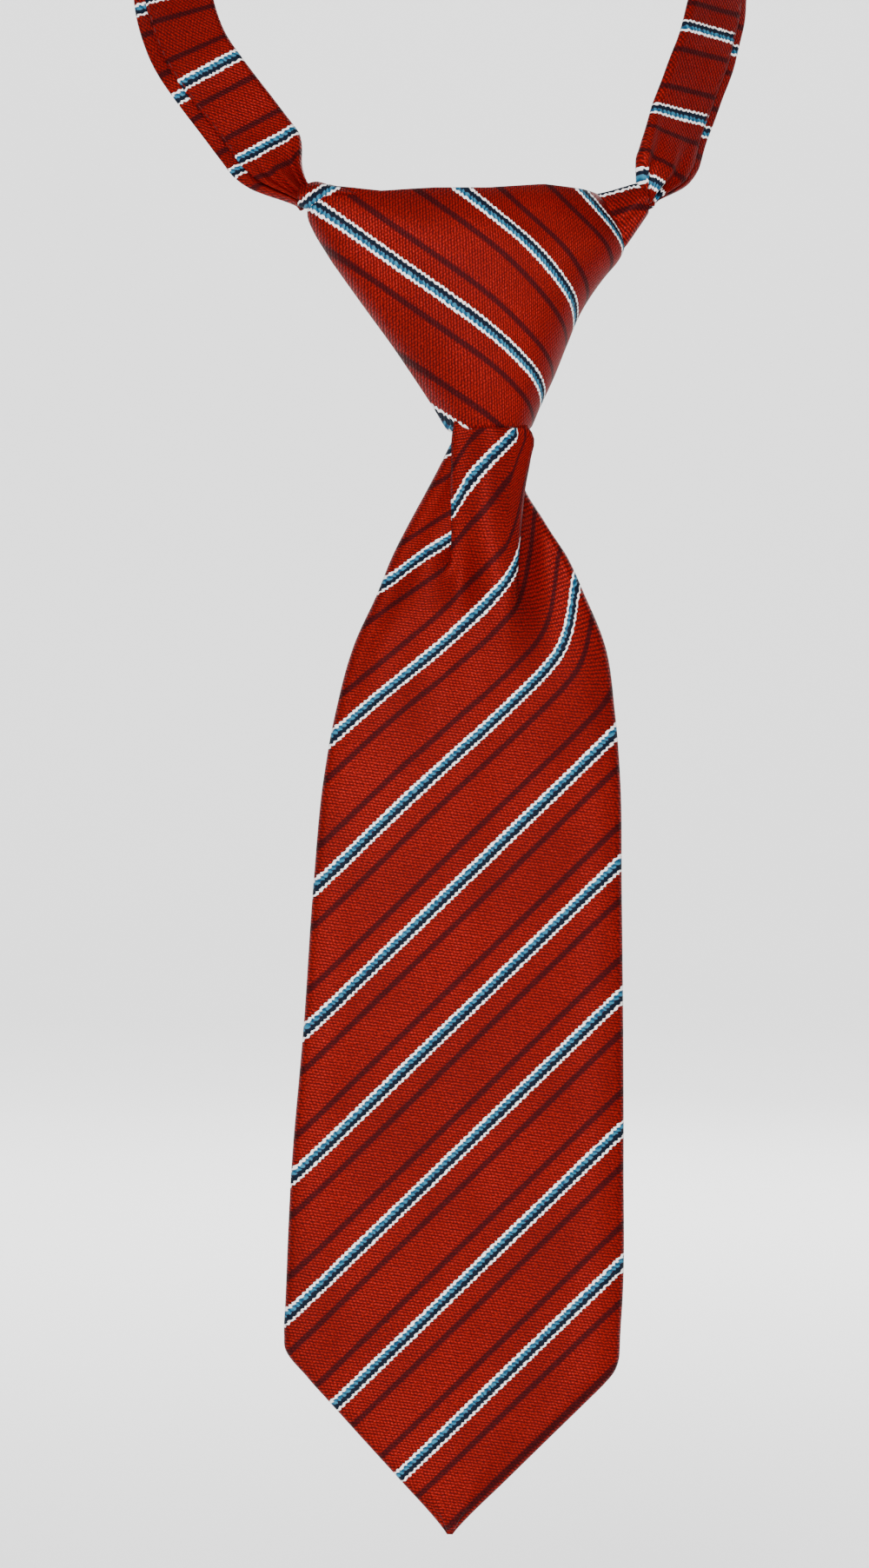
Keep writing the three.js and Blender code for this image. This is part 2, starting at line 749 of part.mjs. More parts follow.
piece(front, "knot_wrap", wrapGeometry(), CLOTH);
piece(
  front,
  "knot_former",
  minus(
    fillingGeometry(-TOP_FOLD_THICK - 2 * GAP, CORE_BOTTOM),
    backPanelRecess(),
  ),
  FORMER,
);
piece(
  front,
  "knot_top_fold",
  minus(fillingGeometry(-GAP, -TOP_FOLD_THICK - GAP), backPanelRecess()),
  CLOTH,
);
piece(front, "knot_back_panel", backPanelGeometry(), CLOTH);
piece(front, "knot_wing_left", wingGeometry(LEFT_WING), CLOTH);
piece(front, "knot_wing_right", wingGeometry(RIGHT_WING), CLOTH);
piece(
  front,
  "knot_tack_stitch",
  box(
    [TACK_LEFT, TACK_Y, TACK_Z - TACK_HEIGHT / 2],
    [TACK_RIGHT, TACK_Y + TACK_THICK, TACK_Z + TACK_HEIGHT / 2],
  ),
  THREAD,
);

piece(
  front,
  "blade_head",
  loft(
    [HEAD_TOP, -42, -46, HEAD_BOTTOM].map((z) =>
      knotSection(sectionAt(z), WRAP_WALL + 1.1, 16),
    ),
  ),
  CLOTH,
);
piece(front, "blade_shell", shellGeometry(), CLOTH);
piece(front, "blade_interlining", interliningGeometry(), FELT);
piece(front, "tip_lining", liningGeometry(), LINING);
piece(front, "back_seam_thread", seamThreadGeometry(), THREAD);

// What is sewn on the blade's back lies on this plane.
const ON_BACK = BLADE_BACK + GAP;
const labelLeft = seamX((LABEL_TOP + LABEL_BOTTOM) / 2) + LABEL_ASIDE;
piece(
  front,
  "seam_bar_tack",
  box(
    [seamX(SEAM_END) - BAR_TACK_WIDTH / 2, ON_BACK, BAR_TACK_BOTTOM],
    [seamX(SEAM_END) + BAR_TACK_WIDTH / 2, ON_BACK + BAR_TACK_THICK, BAR_TACK_TOP],
  ),
  THREAD,
);
piece(
  front,
  "care_label",
  box(
    [labelLeft, ON_BACK, LABEL_BOTTOM],
    [labelLeft + LABEL_WIDTH, ON_BACK + LABEL_THICK, LABEL_TOP],
  ),
  LABEL,
);

// Each band ends at its gather, clear of the knot. The cut that ends it is a box
// over the knot, which stops short of the nape.
const CUT_LOW = -120;
const CUT_BACK = 20;
const CUT_TOP = 40;
const CUT_WIDTH = 60;
const SIDES = [
  ["left", leftPath, BAND_ROLL_LEFT, LEFT_BAND_END, LEFT_PINCH_X, -1],
  ["right", rightPath, BAND_ROLL_RIGHT, RIGHT_BAND_END, RIGHT_PINCH_X, 1],
];
for (const [side, path, roll, endAngle, pinchX, sign] of SIDES) {
  const end = path.lengthTo(endAngle);
  const limit = pinchX + sign * PINCH_CLEAR;
  const inside = box(
    [sign < 0 ? limit : limit - CUT_WIDTH, CUT_LOW, CUT_LOW],
    [sign < 0 ? limit + CUT_WIDTH : limit, CUT_BACK, CUT_TOP],
  );
  piece(necktie, `band_${side}`, minus(band(path, roll, end), inside), CLOTH);
  piece(
    necktie,
    `band_stiffener_${side}`,
    stiffener(path, roll, end - 11),
    FELT,
  );
  piece(
    necktie,
    `band_topstitch_${side}`,
    topstitch(path, roll, end - 2),
    THREAD,
  );
}

// The left band's end holds the eye on a tab of webbing.
const loopPlane = placeInLoopPlane(new THREE.Group());
necktie.add(loopPlane);
const barRadius = LOOP_RADIUS - TURN_RADIUS;
piece(
  loopPlane,
  "eye_tab",
  webbing([
    ...arc(LEFT_BAND_END + 6, EYE_BAR_ANGLE + 2),
    ...aroundBar(EYE_BAR_ANGLE, barRadius, -1),
    ...arc(EYE_BAR_ANGLE + 2, EYE_BAR_ANGLE + 6, barRadius - TURN_RADIUS),
  ]),
  WEBBING,
);
const eyeFrame = hardwareFrame(EYE_BAR_ANGLE, barRadius);
necktie.add(eyeFrame);
piece(eyeFrame, "clasp_eye", eyeGeometry(), NICKEL);

// The right band's end holds the adjusting strap, which carries the hook and
// folds back to the slider.
const returnRadius = barRadius - TURN_RADIUS;
piece(
  loopPlane,
  "adjuster_strap",
  webbing([
    ...arc(RIGHT_BAND_END - 6, HOOK_BAR_ANGLE - 2),
    ...aroundBar(HOOK_BAR_ANGLE, barRadius, 1),
    ...arc(HOOK_BAR_ANGLE - 2, STRAP_SPLIT + 0.4, returnRadius),
  ]),
  WEBBING,
);
const sliderBarRadius = LOOP_RADIUS - SLIDER_BAR_DEPTH;
piece(
  loopPlane,
  "strap_return",
  webbing([
    ...arc(
      STRAP_SPLIT,
      SLIDER_ANGLE + 2,
      returnRadius,
      sliderBarRadius - TURN_RADIUS,
    ),
    ...aroundBar(SLIDER_ANGLE, sliderBarRadius, -1).reverse(),
    ...arc(SLIDER_ANGLE + 2, SLIDER_ANGLE + 6, sliderBarRadius + TURN_RADIUS),
  ]),
  WEBBING,
);
const hookFrame = hardwareFrame(HOOK_BAR_ANGLE, barRadius);
necktie.add(hookFrame);
piece(hookFrame, "clasp_hook", hookGeometry(), NICKEL);
const sliderFrame = hardwareFrame(SLIDER_ANGLE, LOOP_RADIUS);
necktie.add(sliderFrame);
piece(sliderFrame, "slider", sliderGeometry(), NICKEL);

export default necktie;
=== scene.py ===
"""The looks of a child's ready-tied necktie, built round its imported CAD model.

Lengths are worked out in millimetres, in the knot's own frame except for the
bands, and placed in metres. Every striped piece carries its place in the flat
cloth as its UV map: u is the distance across the stripes and v the distance along
them, in millimetres, so one woven material gives every piece stripes that follow
its folds.
"""

import json
import math

import bpy
import numpy as np
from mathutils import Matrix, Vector


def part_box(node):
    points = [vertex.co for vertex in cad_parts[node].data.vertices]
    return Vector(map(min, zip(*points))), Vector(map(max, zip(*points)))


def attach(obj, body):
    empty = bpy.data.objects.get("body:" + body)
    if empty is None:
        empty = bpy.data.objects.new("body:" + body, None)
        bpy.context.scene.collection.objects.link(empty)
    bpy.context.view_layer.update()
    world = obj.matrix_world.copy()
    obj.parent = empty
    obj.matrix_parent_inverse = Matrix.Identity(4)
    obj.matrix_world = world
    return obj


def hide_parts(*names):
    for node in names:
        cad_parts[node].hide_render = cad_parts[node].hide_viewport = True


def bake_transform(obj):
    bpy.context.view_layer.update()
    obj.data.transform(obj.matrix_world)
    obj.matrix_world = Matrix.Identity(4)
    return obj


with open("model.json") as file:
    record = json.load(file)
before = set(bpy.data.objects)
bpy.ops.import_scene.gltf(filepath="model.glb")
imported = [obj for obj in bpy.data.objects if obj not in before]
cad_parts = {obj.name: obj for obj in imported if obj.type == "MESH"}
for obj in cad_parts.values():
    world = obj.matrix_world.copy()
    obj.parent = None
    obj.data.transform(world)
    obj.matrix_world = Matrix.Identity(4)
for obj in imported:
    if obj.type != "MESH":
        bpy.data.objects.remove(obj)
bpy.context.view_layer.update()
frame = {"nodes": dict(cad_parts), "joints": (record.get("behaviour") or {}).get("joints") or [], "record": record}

MM = 0.001
joint_places = {joint["name"]: joint["pos_m"] for joint in frame["joints"]}
HINGE = np.array(joint_places["knot_tilt"]) / MM
KNOT_TOP = 1.8  # the knot's top edge over its hinge
KNOT_FRAME = HINGE + np.array([0, 0, KNOT_TOP])

# The neck loop's plane, as in the CAD: a circle joined to the knot by tangents.
LOOP_TILT = math.radians(68)
LOOP_RADIUS = 54.0
LOOP_DEPTH = 58.0
LOOP_UP = np.array([0, -math.sin(LOOP_TILT), math.cos(LOOP_TILT)])

CLOTH_THICK = 0.45
STRIPE_PERIOD = 20.1  # between light stripes, across them
STRIPE_ANGLE = math.radians(44)


# ------------------------------------------------------------------- helpers
def mix(a, b, t):
    return a + (b - a) * t


def ease(t):
    t = np.clip(t, 0, 1)
    return t * t * (3 - 2 * t)


def cubic(t, h, start, leaving, end, arriving):
    """A cubic over a span h from start to end, with its slope at each."""
    return (
        (2 * t**3 - 3 * t**2 + 1) * start
        + (t**3 - 2 * t**2 + t) * h * leaving
        + (3 * t**2 - 2 * t**3) * end
        + (t**3 - t**2) * h * arriving
    )


def curve_through(at, stations):
    """The smooth curve through (place, value, ...) stations, read at `at`."""
    table = np.array(sorted(stations), float)
    xs, ys = table[:, 0], table[:, 1:]
    slope = np.diff(ys, axis=0) / np.diff(xs)[:, None]
    tangent = np.empty_like(ys)
    tangent[0], tangent[-1] = slope[0], slope[-1]
    before, after = np.diff(xs)[:-1, None], np.diff(xs)[1:, None]
    tangent[1:-1] = (slope[:-1] * after + slope[1:] * before) / (before + after)
    at = np.clip(np.atleast_1d(np.asarray(at, float)), xs[0], xs[-1])
    k = np.clip(np.searchsorted(xs, at, "right") - 1, 0, len(xs) - 2)
    h = (xs[k + 1] - xs[k])[:, None]
    t = ((at - xs[k]) / h[:, 0])[:, None]
    value = cubic(t, h, ys[k], tangent[k], ys[k + 1], tangent[k + 1])
    return value[:, 0] if value.shape[1] == 1 else value


def lines_through(controls, steps):
    """Rows of points on smooth lines through each row's control points, with
    `steps` points to each span."""
    span = np.diff(controls, axis=1)
    length = np.maximum(np.linalg.norm(span, axis=2, keepdims=True), 1e-4)
    slope = span / length
    tangent = np.empty_like(controls)
    tangent[:, 0], tangent[:, -1] = slope[:, 0], slope[:, -1]
    weight = length[:, :-1] + length[:, 1:]
    tangent[:, 1:-1] = (
        slope[:, :-1] * length[:, 1:] + slope[:, 1:] * length[:, :-1]
    ) / weight
    parts = []
    for k, count in enumerate(steps):
        t = np.linspace(0, 1, count, endpoint=False)[None, :, None]
        start, end = controls[:, k, None], controls[:, k + 1, None]
        leaving, arriving = tangent[:, k, None], tangent[:, k + 1, None]
        parts.append(cubic(t, length[:, k, None], start, leaving, end, arriving))
    parts.append(controls[:, -1:])
    return np.concatenate(parts, axis=1)


def points_at(z, places):
    """Control points at each height z, from their (across, depth) places."""
    columns = [np.stack(np.broadcast_arrays(x, y, z), axis=1) for x, y in places]
    return np.stack(columns, axis=1)


def arc_lengths(grid, axis):
    """Distance along a grid's lines from their first point."""
    step = np.linalg.norm(np.diff(grid, axis=axis), axis=2)
    zero = np.zeros_like(np.take(step, [0], axis=axis))
    return np.concatenate([zero, np.cumsum(step, axis=axis)], axis=axis)


def in_stripes(across, up, angle, shift):
    """Cloth places as (distance across the stripes, distance along them)."""
    s = -across * math.sin(angle) + up * math.cos(angle) + shift
    t = across * math.cos(angle) + up * math.sin(angle)
    return np.stack([s, t], axis=2)


def knot_frame_box(node):
    """The low and high corners of a CAD piece, in the knot's own frame."""
    return [np.array(corner) / MM - KNOT_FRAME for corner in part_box(node)]


def object_from(name, points, faces, material):
    mesh = bpy.data.meshes.new(name)
    mesh.from_pydata([tuple(p) for p in points], [], faces)
    mesh.update()
    mesh.shade_smooth()
    mesh.materials.append(material)
    obj = bpy.data.objects.new(name, mesh)
    bpy.context.scene.collection.objects.link(obj)
    return obj


def cloth(name, grid, flat, material, thick=CLOTH_THICK, origin=KNOT_FRAME, turn=False):
    """A sheet of cloth from a grid of points, with its flat cloth places as UVs.
    Its outer side faces the other way where turn is set."""
    rows, columns = grid.shape[:2]
    faces = []
    for i in range(rows - 1):
        for j in range(columns - 1):
            a = i * columns + j
            face = (a, a + 1, a + columns + 1, a + columns)
            faces.append(face[::-1] if turn else face)
    points = (grid.reshape(-1, 3) + origin) * MM
    obj = object_from(name, points, faces, material)
    layer = obj.data.uv_layers.new(name="cloth")
    corner = np.empty(len(obj.data.loops), int)
    obj.data.loops.foreach_get("vertex_index", corner)
    layer.data.foreach_set("uv", flat.reshape(-1, 2)[corner].astype(np.float32).ravel())
    if thick:
        solid = obj.modifiers.new("thickness", "SOLIDIFY")
        solid.thickness = thick * MM
        solid.offset = -1
        apply_modifiers(obj)
    return obj


def apply_modifiers(obj):
    graph = bpy.context.evaluated_depsgraph_get()
    made = bpy.data.meshes.new_from_object(obj.evaluated_get(graph))
    obj.modifiers.clear()
    old, obj.data = obj.data, made
    bpy.data.meshes.remove(old)


# ----------------------------------------------------------------- materials
class Nodes:
    """A material's nodes, with short calls for the ones used again and again."""

    def __init__(self, name):
        self.material = bpy.data.materials.new(name)
        self.material.use_nodes = True
        self.tree = self.material.node_tree
        self.shader = self.tree.nodes["Principled BSDF"]

    def add(self, kind, **settings):
        node = self.tree.nodes.new(kind)
        for key, value in settings.items():
            setattr(node, key, value)
        return node

    def link(self, value, socket):
        if isinstance(value, bpy.types.NodeSocket):
            self.tree.links.new(value, socket)
        else:
            socket.default_value = value

    def object_place(self):
        return self.add("ShaderNodeTexCoord").outputs["Object"]

    def axes(self, vector):
        parts = self.add("ShaderNodeSeparateXYZ")
        self.link(vector, parts.inputs[0])
        return parts.outputs

    def math(self, operation, a, b=0.0, c=0.0):
        node = self.add("ShaderNodeMath", operation=operation)
        for value, socket in zip((a, b, c), node.inputs):
            self.link(value, socket)
        return node.outputs[0]

    def colours(self, factor, a, b):
        node = self.add("ShaderNodeMix", data_type="RGBA")
        self.link(factor, node.inputs["Factor"])
        self.link(a, node.inputs[6])
        self.link(b, node.inputs[7])
        return node.outputs[2]

    def noise(self, vector, scale, detail=2.0, roughness=0.5):
        node = self.add("ShaderNodeTexNoise")
        self.link(vector, node.inputs["Vector"])
        node.inputs["Scale"].default_value = scale
        node.inputs["Detail"].default_value = detail
        node.inputs["Roughness"].default_value = roughness
        return node.outputs["Fac"]

    def band(self, place, low, high, blur):
        """1 between low and high, falling off over blur at both ends."""
        up = self.ramp(place, low - blur / 2, low + blur / 2)
        down = self.ramp(place, high - blur / 2, high + blur / 2)
        return self.math("SUBTRACT", up, down)

    def ramp(self, value, low, high, to_low=0.0, to_high=1.0):
        node = self.add("ShaderNodeMapRange", interpolation_type="SMOOTHSTEP")
        self.link(value, node.inputs["Value"])
        for key, number in zip(
            ("From Min", "From Max", "To Min", "To Max"), (low, high, to_low, to_high)
        ):
            node.inputs[key].default_value = number
        return node.outputs["Result"]

    def wave(self, place, pitch):
        """A smooth wave from 0 to 1 along `place`, one to each pitch."""
        turned = self.math("MULTIPLY", place, 2 * math.pi / pitch)
        return self.math("MULTIPLY_ADD", self.math("SINE", turned), 0.5, 0.5)

    def bump(self, height, strength, distance_mm):
        node = self.add("ShaderNodeBump")
        node.inputs["Strength"].default_value = strength
        node.inputs["Distance"].default_value = distance_mm * MM
        self.link(height, node.inputs["Height"])
        self.link(node.outputs["Normal"], self.shader.inputs["Normal"])

    def set(self, **values):
        for key, value in values.items():
            self.link(value, self.shader.inputs[key.replace("_", " ")])


def srgb(red, green, blue):
    def linear(v):
        v /= 255
        return v / 12.92 if v <= 0.04045 else ((v + 0.055) / 1.055) ** 2.4

    return (linear(red), linear(green), linear(blue), 1.0)


RED = srgb(139, 15, 11)
RED_DEEP = srgb(50, 6, 6)
RED_BRIGHT = srgb(170, 28, 19)
MAROON = srgb(34, 6, 9)
WHITE = srgb(246, 243, 242)
# painted shade: this white and the darker teal below are the cords' colours in the troughs of their twists
WHITE_SHADED = srgb(205, 180, 180)
TEAL = srgb(46, 112, 138)
TEAL_SHADED = srgb(14, 54, 82)
NAVY = srgb(8, 18, 32)

RIB_PITCH = 0.62
RIB_ANGLE = math.radians(38)  # between the ribs and the stripes
WEFT_PITCH = 0.74
CORD_PITCH = 1.15  # one twist of a corded stripe
CORD_RAGGED = 0.3  # how far a twist moves a cord's edge
SILK_SHINE = 0.45  # how much of the red ground's light is mirrored in its own red
# each cord of a light stripe, from and to, above the stripe's middle
UPPER_WHITE = (0.82, 1.34)
TEAL_CORD = (-0.02, 0.82)
NAVY_CORD = (-0.98, -0.02)
LOWER_WHITE = (-1.42, -0.98)
CORD_BLUR = 0.16
WHITE_BLUR = 0.1
DARK_STRIPE = 0.28 * STRIPE_PERIOD  # from the light stripe on each side
DARK_HALF = 0.62
DARK_BLUR = 0.5


def twill_weave(n, uv, s, t):
    """The ribs of the twill, broken where each weft thread passes under."""
    lean = n.math("MULTIPLY", s, math.sin(RIB_ANGLE))
    rib_place = n.math("MULTIPLY_ADD", t, math.cos(RIB_ANGLE), lean)
    weft_lean = n.math("MULTIPLY", s, -math.cos(RIB_ANGLE))
    weft_place = n.math("MULTIPLY_ADD", t, math.sin(RIB_ANGLE), weft_lean)
    wander = n.noise(uv, 0.9, 2.0)
    rib_place = n.math("MULTIPLY_ADD", wander, 0.5, rib_place)
    ribs = n.wave(rib_place, RIB_PITCH)
    breaks = n.wave(n.math("MULTIPLY_ADD", rib_place, 0.5, weft_place), WEFT_PITCH)
    return n.math("MULTIPLY", ribs, n.ramp(breaks, 0.0, 0.6, 0.35, 1.0))


def cord_twist(n, uv, s, t):
    """A wave along a light stripe, with its twists a little uneven; it sets each cord's height and its painted
    shade in the troughs.
    """
    stray = n.math("MULTIPLY", n.noise(uv, 0.55, 3.0, 0.6), 2.6)
    return n.wave(n.math("ADD", n.math("MULTIPLY_ADD", s, 0.5, t), stray), CORD_PITCH)


def from_nearest_stripe(n, s):
    """The distance above the middle of the nearest light stripe."""
    near = n.math("DIVIDE", s, STRIPE_PERIOD)
    near = n.math("SUBTRACT", near, n.math("ROUND", near))
    return n.math("MULTIPLY", near, STRIPE_PERIOD)


def red_ground(n, uv, weave, fuzz):
    """The red twill, varied from thread to thread and broadly."""
    broad = n.noise(uv, 0.045, 2.0)
    ground = n.colours(weave, RED_DEEP, RED)
    ground = n.colours(n.ramp(fuzz, 0.45, 0.8, 0.0, 0.55), ground, RED_BRIGHT)
    return n.colours(n.ramp(broad, 0.3, 0.7, 0.0, 0.22), ground, RED_DEEP)


def striped_twill():
    """Red twill with corded light stripes and thin dark ones between them."""
    n = Nodes("striped_twill")
    uv = n.add("ShaderNodeUVMap", uv_map="cloth").outputs[0]
    s, t, _ = n.axes(uv)
    weave = twill_weave(n, uv, s, t)
    twist = cord_twist(n, uv, s, t)
    near = from_nearest_stripe(n, s)

    edge = n.math("ADD", near, n.math("MULTIPLY_ADD", twist, CORD_RAGGED, -CORD_RAGGED / 2))
    teal = n.band(edge, *TEAL_CORD, CORD_BLUR)
    navy = n.band(edge, *NAVY_CORD, CORD_BLUR)
    whites = [n.band(edge, *white, WHITE_BLUR) for white in (UPPER_WHITE, LOWER_WHITE)]
    whites = n.math("ADD", *whites)
    beside = n.math("ABSOLUTE", near)
    dark = n.band(beside, DARK_STRIPE - DARK_HALF, DARK_STRIPE + DARK_HALF, DARK_BLUR)

    fuzz = n.noise(uv, 2.2, 3.0, 0.6)
    colour = red_ground(n, uv, weave, fuzz)
    colour = n.colours(n.math("MULTIPLY", dark, 0.8), colour, MAROON)
    # painted shade: each teal cord darkens towards the trough of its twist
    colour = n.colours(teal, colour, n.colours(twist, TEAL_SHADED, TEAL))
    colour = n.colours(navy, colour, NAVY)
    # painted shade: each white cord darkens towards the trough of its twist
    shaded = n.colours(n.ramp(twist, 0.0, 0.5, 0.25, 0.0), WHITE, WHITE_SHADED)
    colour = n.colours(whites, colour, shaded)

    # corded stripes stand up from the twill, and each has its own twist
    light = n.math("ADD", whites, n.math("ADD", teal, navy))
    cord = n.math("MULTIPLY", light, n.math("MULTIPLY_ADD", twist, 0.5, 0.6))
    height = n.math("MULTIPLY_ADD", weave, 0.45, cord)
    n.bump(n.math("MULTIPLY_ADD", fuzz, 0.15, height), 0.8, 0.22)
    n.set(Base_Color=colour, Roughness=n.math("MULTIPLY_ADD", weave, -0.12, 0.6))
    shine = n.math("MULTIPLY_ADD", light, -SILK_SHINE, SILK_SHINE)
    n.set(Metallic=shine, Specular_IOR_Level=0.06)
    return n.material


def felt():
    n = Nodes("interlining")
    place = n.object_place()
    fibres = n.noise(place, 900, 4.0, 0.7)
    n.set(Base_Color=n.colours(fibres, srgb(214, 206, 190), srgb(240, 236, 226)))
    n.set(Roughness=n.ramp(fibres, 0.2, 0.8, 0.85, 1.0))
    n.bump(fibres, 0.5, 0.3)
    return n.material


def lining_satin():
    """The tip lining: a smooth satin with a fine weave and a soft sheen."""
    n = Nodes("lining")
    place = n.object_place()
    axes = n.axes(place)
    threads = n.wave(n.math("ADD", axes["X"], axes["Z"]), 0.0005)
    slubs = n.noise(place, 260, 3.0)
    n.set(Base_Color=n.colours(slubs, srgb(66, 5, 6), srgb(92, 9, 8)))
    n.set(Roughness=n.ramp(slubs, 0.3, 0.7, 0.42, 0.56), Specular_IOR_Level=0.3)
    n.bump(n.math("MULTIPLY_ADD", slubs, 0.4, threads), 0.25, 0.06)
    return n.material


def thread():
    n = Nodes("thread")
    place = n.object_place()
    twist = n.noise(place, 2600, 2.0)
    n.set(Base_Color=n.colours(twist, srgb(60, 6, 5), srgb(98, 12, 9)))
    n.set(Specular_IOR_Level=0.2)
    n.set(Roughness=n.ramp(twist, 0.2, 0.8, 0.5, 0.75))
    n.bump(twist, 0.6, 0.1)
    return n.material


def webbing():
    """Narrow grosgrain strapping, ribbed across its width."""
    n = Nodes("webbing")
    place = n.object_place()
    axes = n.axes(place)
    turn = n.math("ARCTAN2", axes["Z"], axes["X"])
    ribs = n.wave(n.math("MULTIPLY", turn, LOOP_RADIUS * MM), 0.0008)
    fuzz = n.noise(place, 1200, 3.0)
    n.set(Base_Color=n.colours(ribs, srgb(34, 3, 4), srgb(78, 7, 6)))
    n.set(Roughness=n.ramp(fuzz, 0.2, 0.8, 0.72, 0.9), Specular_IOR_Level=0.2)
    n.bump(n.math("MULTIPLY_ADD", fuzz, 0.3, ribs), 0.6, 0.2)
    return n.material


def nickel():
    n = Nodes("nickel")
    place = n.object_place()
    scuffs = n.noise(place, 700, 5.0, 0.65)
    n.set(Base_Color=n.colours(scuffs, srgb(188, 188, 184), srgb(222, 221, 217)))
    n.set(Metallic=1.0, Roughness=n.ramp(scuffs, 0.3, 0.75, 0.16, 0.36))
    n.bump(scuffs, 0.12, 0.03)
    return n.material


def moulded_plastic():
    n = Nodes("former")
    place = n.object_place()
    grain = n.noise(place, 1500, 3.0)
    n.set(Base_Color=n.colours(grain, srgb(38, 38, 40), srgb(52, 52, 54)))
    n.set(Roughness=n.ramp(grain, 0.2, 0.8, 0.5, 0.7))
    n.bump(grain, 0.3, 0.1)
    return n.material


def label_satin():
    n = Nodes("label")
    weft = n.wave(n.axes(n.object_place())["Z"], 0.0004)
    n.set(Base_Color=n.colours(weft, srgb(226, 222, 214), srgb(244, 242, 236)))
    n.set(Roughness=n.ramp(weft, 0.0, 1.0, 0.42, 0.55))
    n.bump(weft, 0.3, 0.06)
    return n.material


def backdrop_paper():
    n = Nodes("backdrop")
    place = n.object_place()
    mottle = n.noise(place, 3.0, 3.0)
    n.set(Base_Color=n.colours(mottle, srgb(240, 240, 240), srgb(244, 244, 244)))
    n.set(Roughness=n.ramp(mottle, 0.2, 0.8, 0.9, 1.0))
    return n.material


TWILL = striped_twill()
FELT = felt()
LINING = lining_satin()
THREAD = thread()
WEBBING = webbing()
NICKEL = nickel()
PLASTIC = moulded_plastic()
LABEL = label_satin()
PAPER = backdrop_paper()

SLOT_MATERIALS = {
    "striped_twill": TWILL,
    "interlining": FELT,
    "lining": LINING,
    "thread": THREAD,
    "webbing": WEBBING,
    "nickel": NICKEL,
    "former": PLASTIC,
    "label": LABEL,
}
for part in frame["record"]["subparts"]:
    kept = frame["nodes"][part["node"]]
    kept.data.materials.clear()
    kept.data.materials.append(SLOT_MATERIALS[part["material_slot"]])


# --------------------------------------------------------------------- blade
BACK = 1.6  # the plane of the blade's back
# [height, left edge, right edge] of the blade's outline
BLADE_OUTLINE = [
    (-43.0, -2.4, 6.6), (-50.0, -3.2, 7.8),
    (-55.0, -5.4, 8.4), (-62.0, -9.0, 10.2),
    (-69.0, -12.8, 14.7), (-76.5, -16.6, 19.3),
    (-84.0, -19.6, 22.7), (-94.5, -24.4, 27.0),
    (-109.0, -28.4, 29.2), (-123.0, -30.9, 30.3),
    (-145.0, -33.0, 30.6), (-174.0, -35.0, 30.9),
    (-203.0, -37.5, 31.0), (-231.0, -38.8, 30.8),
    (-239.0, -39.1, 30.3), (-241.6, -38.9, 30.2),
    (-243.2, -38.0, 30.1), (-245.0, -36.5, 29.7),
    (-246.6, -35.0, 28.9), (-248.6, -33.3, 27.2),
    (-252.0, -30.2, 23.8), (-260.0, -23.0, 15.6),
    (-270.0, -13.9, 5.4), (-277.0, -7.6, -1.8),
    (-279.4, -5.7, -4.0), (-280.3, -5.1, -4.7),
]
# [height, fold at the ridge's left, fold at its right, tuck left, tuck right,
#  step down behind the left fold, step behind the right fold]; a tuck below
# zero is an open valley.
BLADE_FOLDS = [
    (-43.0, -3.0, 8.6, 3.0, 4.4, 1.6, 1.8), (-48.5, -3.6, 10.2, 3.6, 4.6, 1.9, 2.4),
    (-51.5, -4.1, 12.1, 3.8, 5.2, 2.0, 2.6), (-56.0, -4.2, 11.5, 3.8, 4.6, 2.4, 3.2),
    (-62.0, -4.3, 10.4, 3.6, 3.8, 2.6, 3.6), (-69.0, -4.2, 9.6, 3.0, 3.0, 2.6, 3.6),
    (-76.0, -4.4, 9.0, 0.6, 1.4, 2.2, 3.2), (-84.0, -6.0, 8.4, -3.0, -0.4, 1.4, 2.2),
    (-94.0, -8.4, 7.4, -4.4, -2.6, 0.9, 1.0), (-110.0, -9.8, 9.0, -6.0, -5.0, 0.35, 0.35),
    (-135.0, -9.6, 8.6, -6.0, -6.0, 0.05, 0.05), (-165.0, -9.4, 6.4, -6.0, -6.0, 0.0, 0.0),
    (-235.0, -10.6, 4.6, -6.0, -6.0, 0.0, 0.0),
]
# [height, ridge's rise from the back, rise at the edges, crown of the ridge]
BLADE_RISE = [
    (-43.0, 7.0, 5.0, 1.4), (-50.0, 7.6, 5.4, 1.6),
    (-55.0, 8.8, 5.2, 1.5), (-62.0, 10.2, 5.0, 1.2),
    (-72.0, 10.8, 4.8, 0.9), (-84.0, 9.8, 4.6, 0.7),
    (-97.0, 7.8, 4.3, 0.5), (-115.0, 5.8, 4.0, 0.25),
    (-140.0, 4.5, 3.7, 0.15), (-180.0, 4.0, 3.6, 0.1),
    (-240.0, 3.7, 3.4, 0.1), (-280.3, 3.0, 2.4, 0.0),
]
SEAM_END = -196.0  # the back seam stops here and the flaps part below it
CORNER = -244.0
POINT_FROM = -240.0  # the pleats have died out below this
TIP = -280.3
FLAP_PART = 21.0  # each flap's edge from the middle, at the corners
SEAM_GAP = 0.3
HEM = 6.0  # each flap is at least this wide
BLADE_STRIPES = 121.9  # sets where the blade's light stripes fall


def blade_heights():
    upper = np.arange(-43.0, -236.0, -1.3)
    corner = np.arange(-236.0, -254.0, -0.6)
    lower = np.arange(-254.0, -280.0, -1.1)
    return np.concatenate([upper, corner, lower, [TIP + 0.5, TIP]])


def blade_seam(z):
    left, right = curve_through(z, BLADE_OUTLINE).T
    return (left + right) / 2


def flap_gap(z):
    """How far each flap's edge lies from the seam's line on the back."""
    left, right = curve_through(z, BLADE_OUTLINE).T
    parting = mix(SEAM_GAP, FLAP_PART, ease((SEAM_END - z) / (SEAM_END - CORNER)))
    return np.clip(np.minimum(parting, (right - left) / 2 - HEM), SEAM_GAP, None)


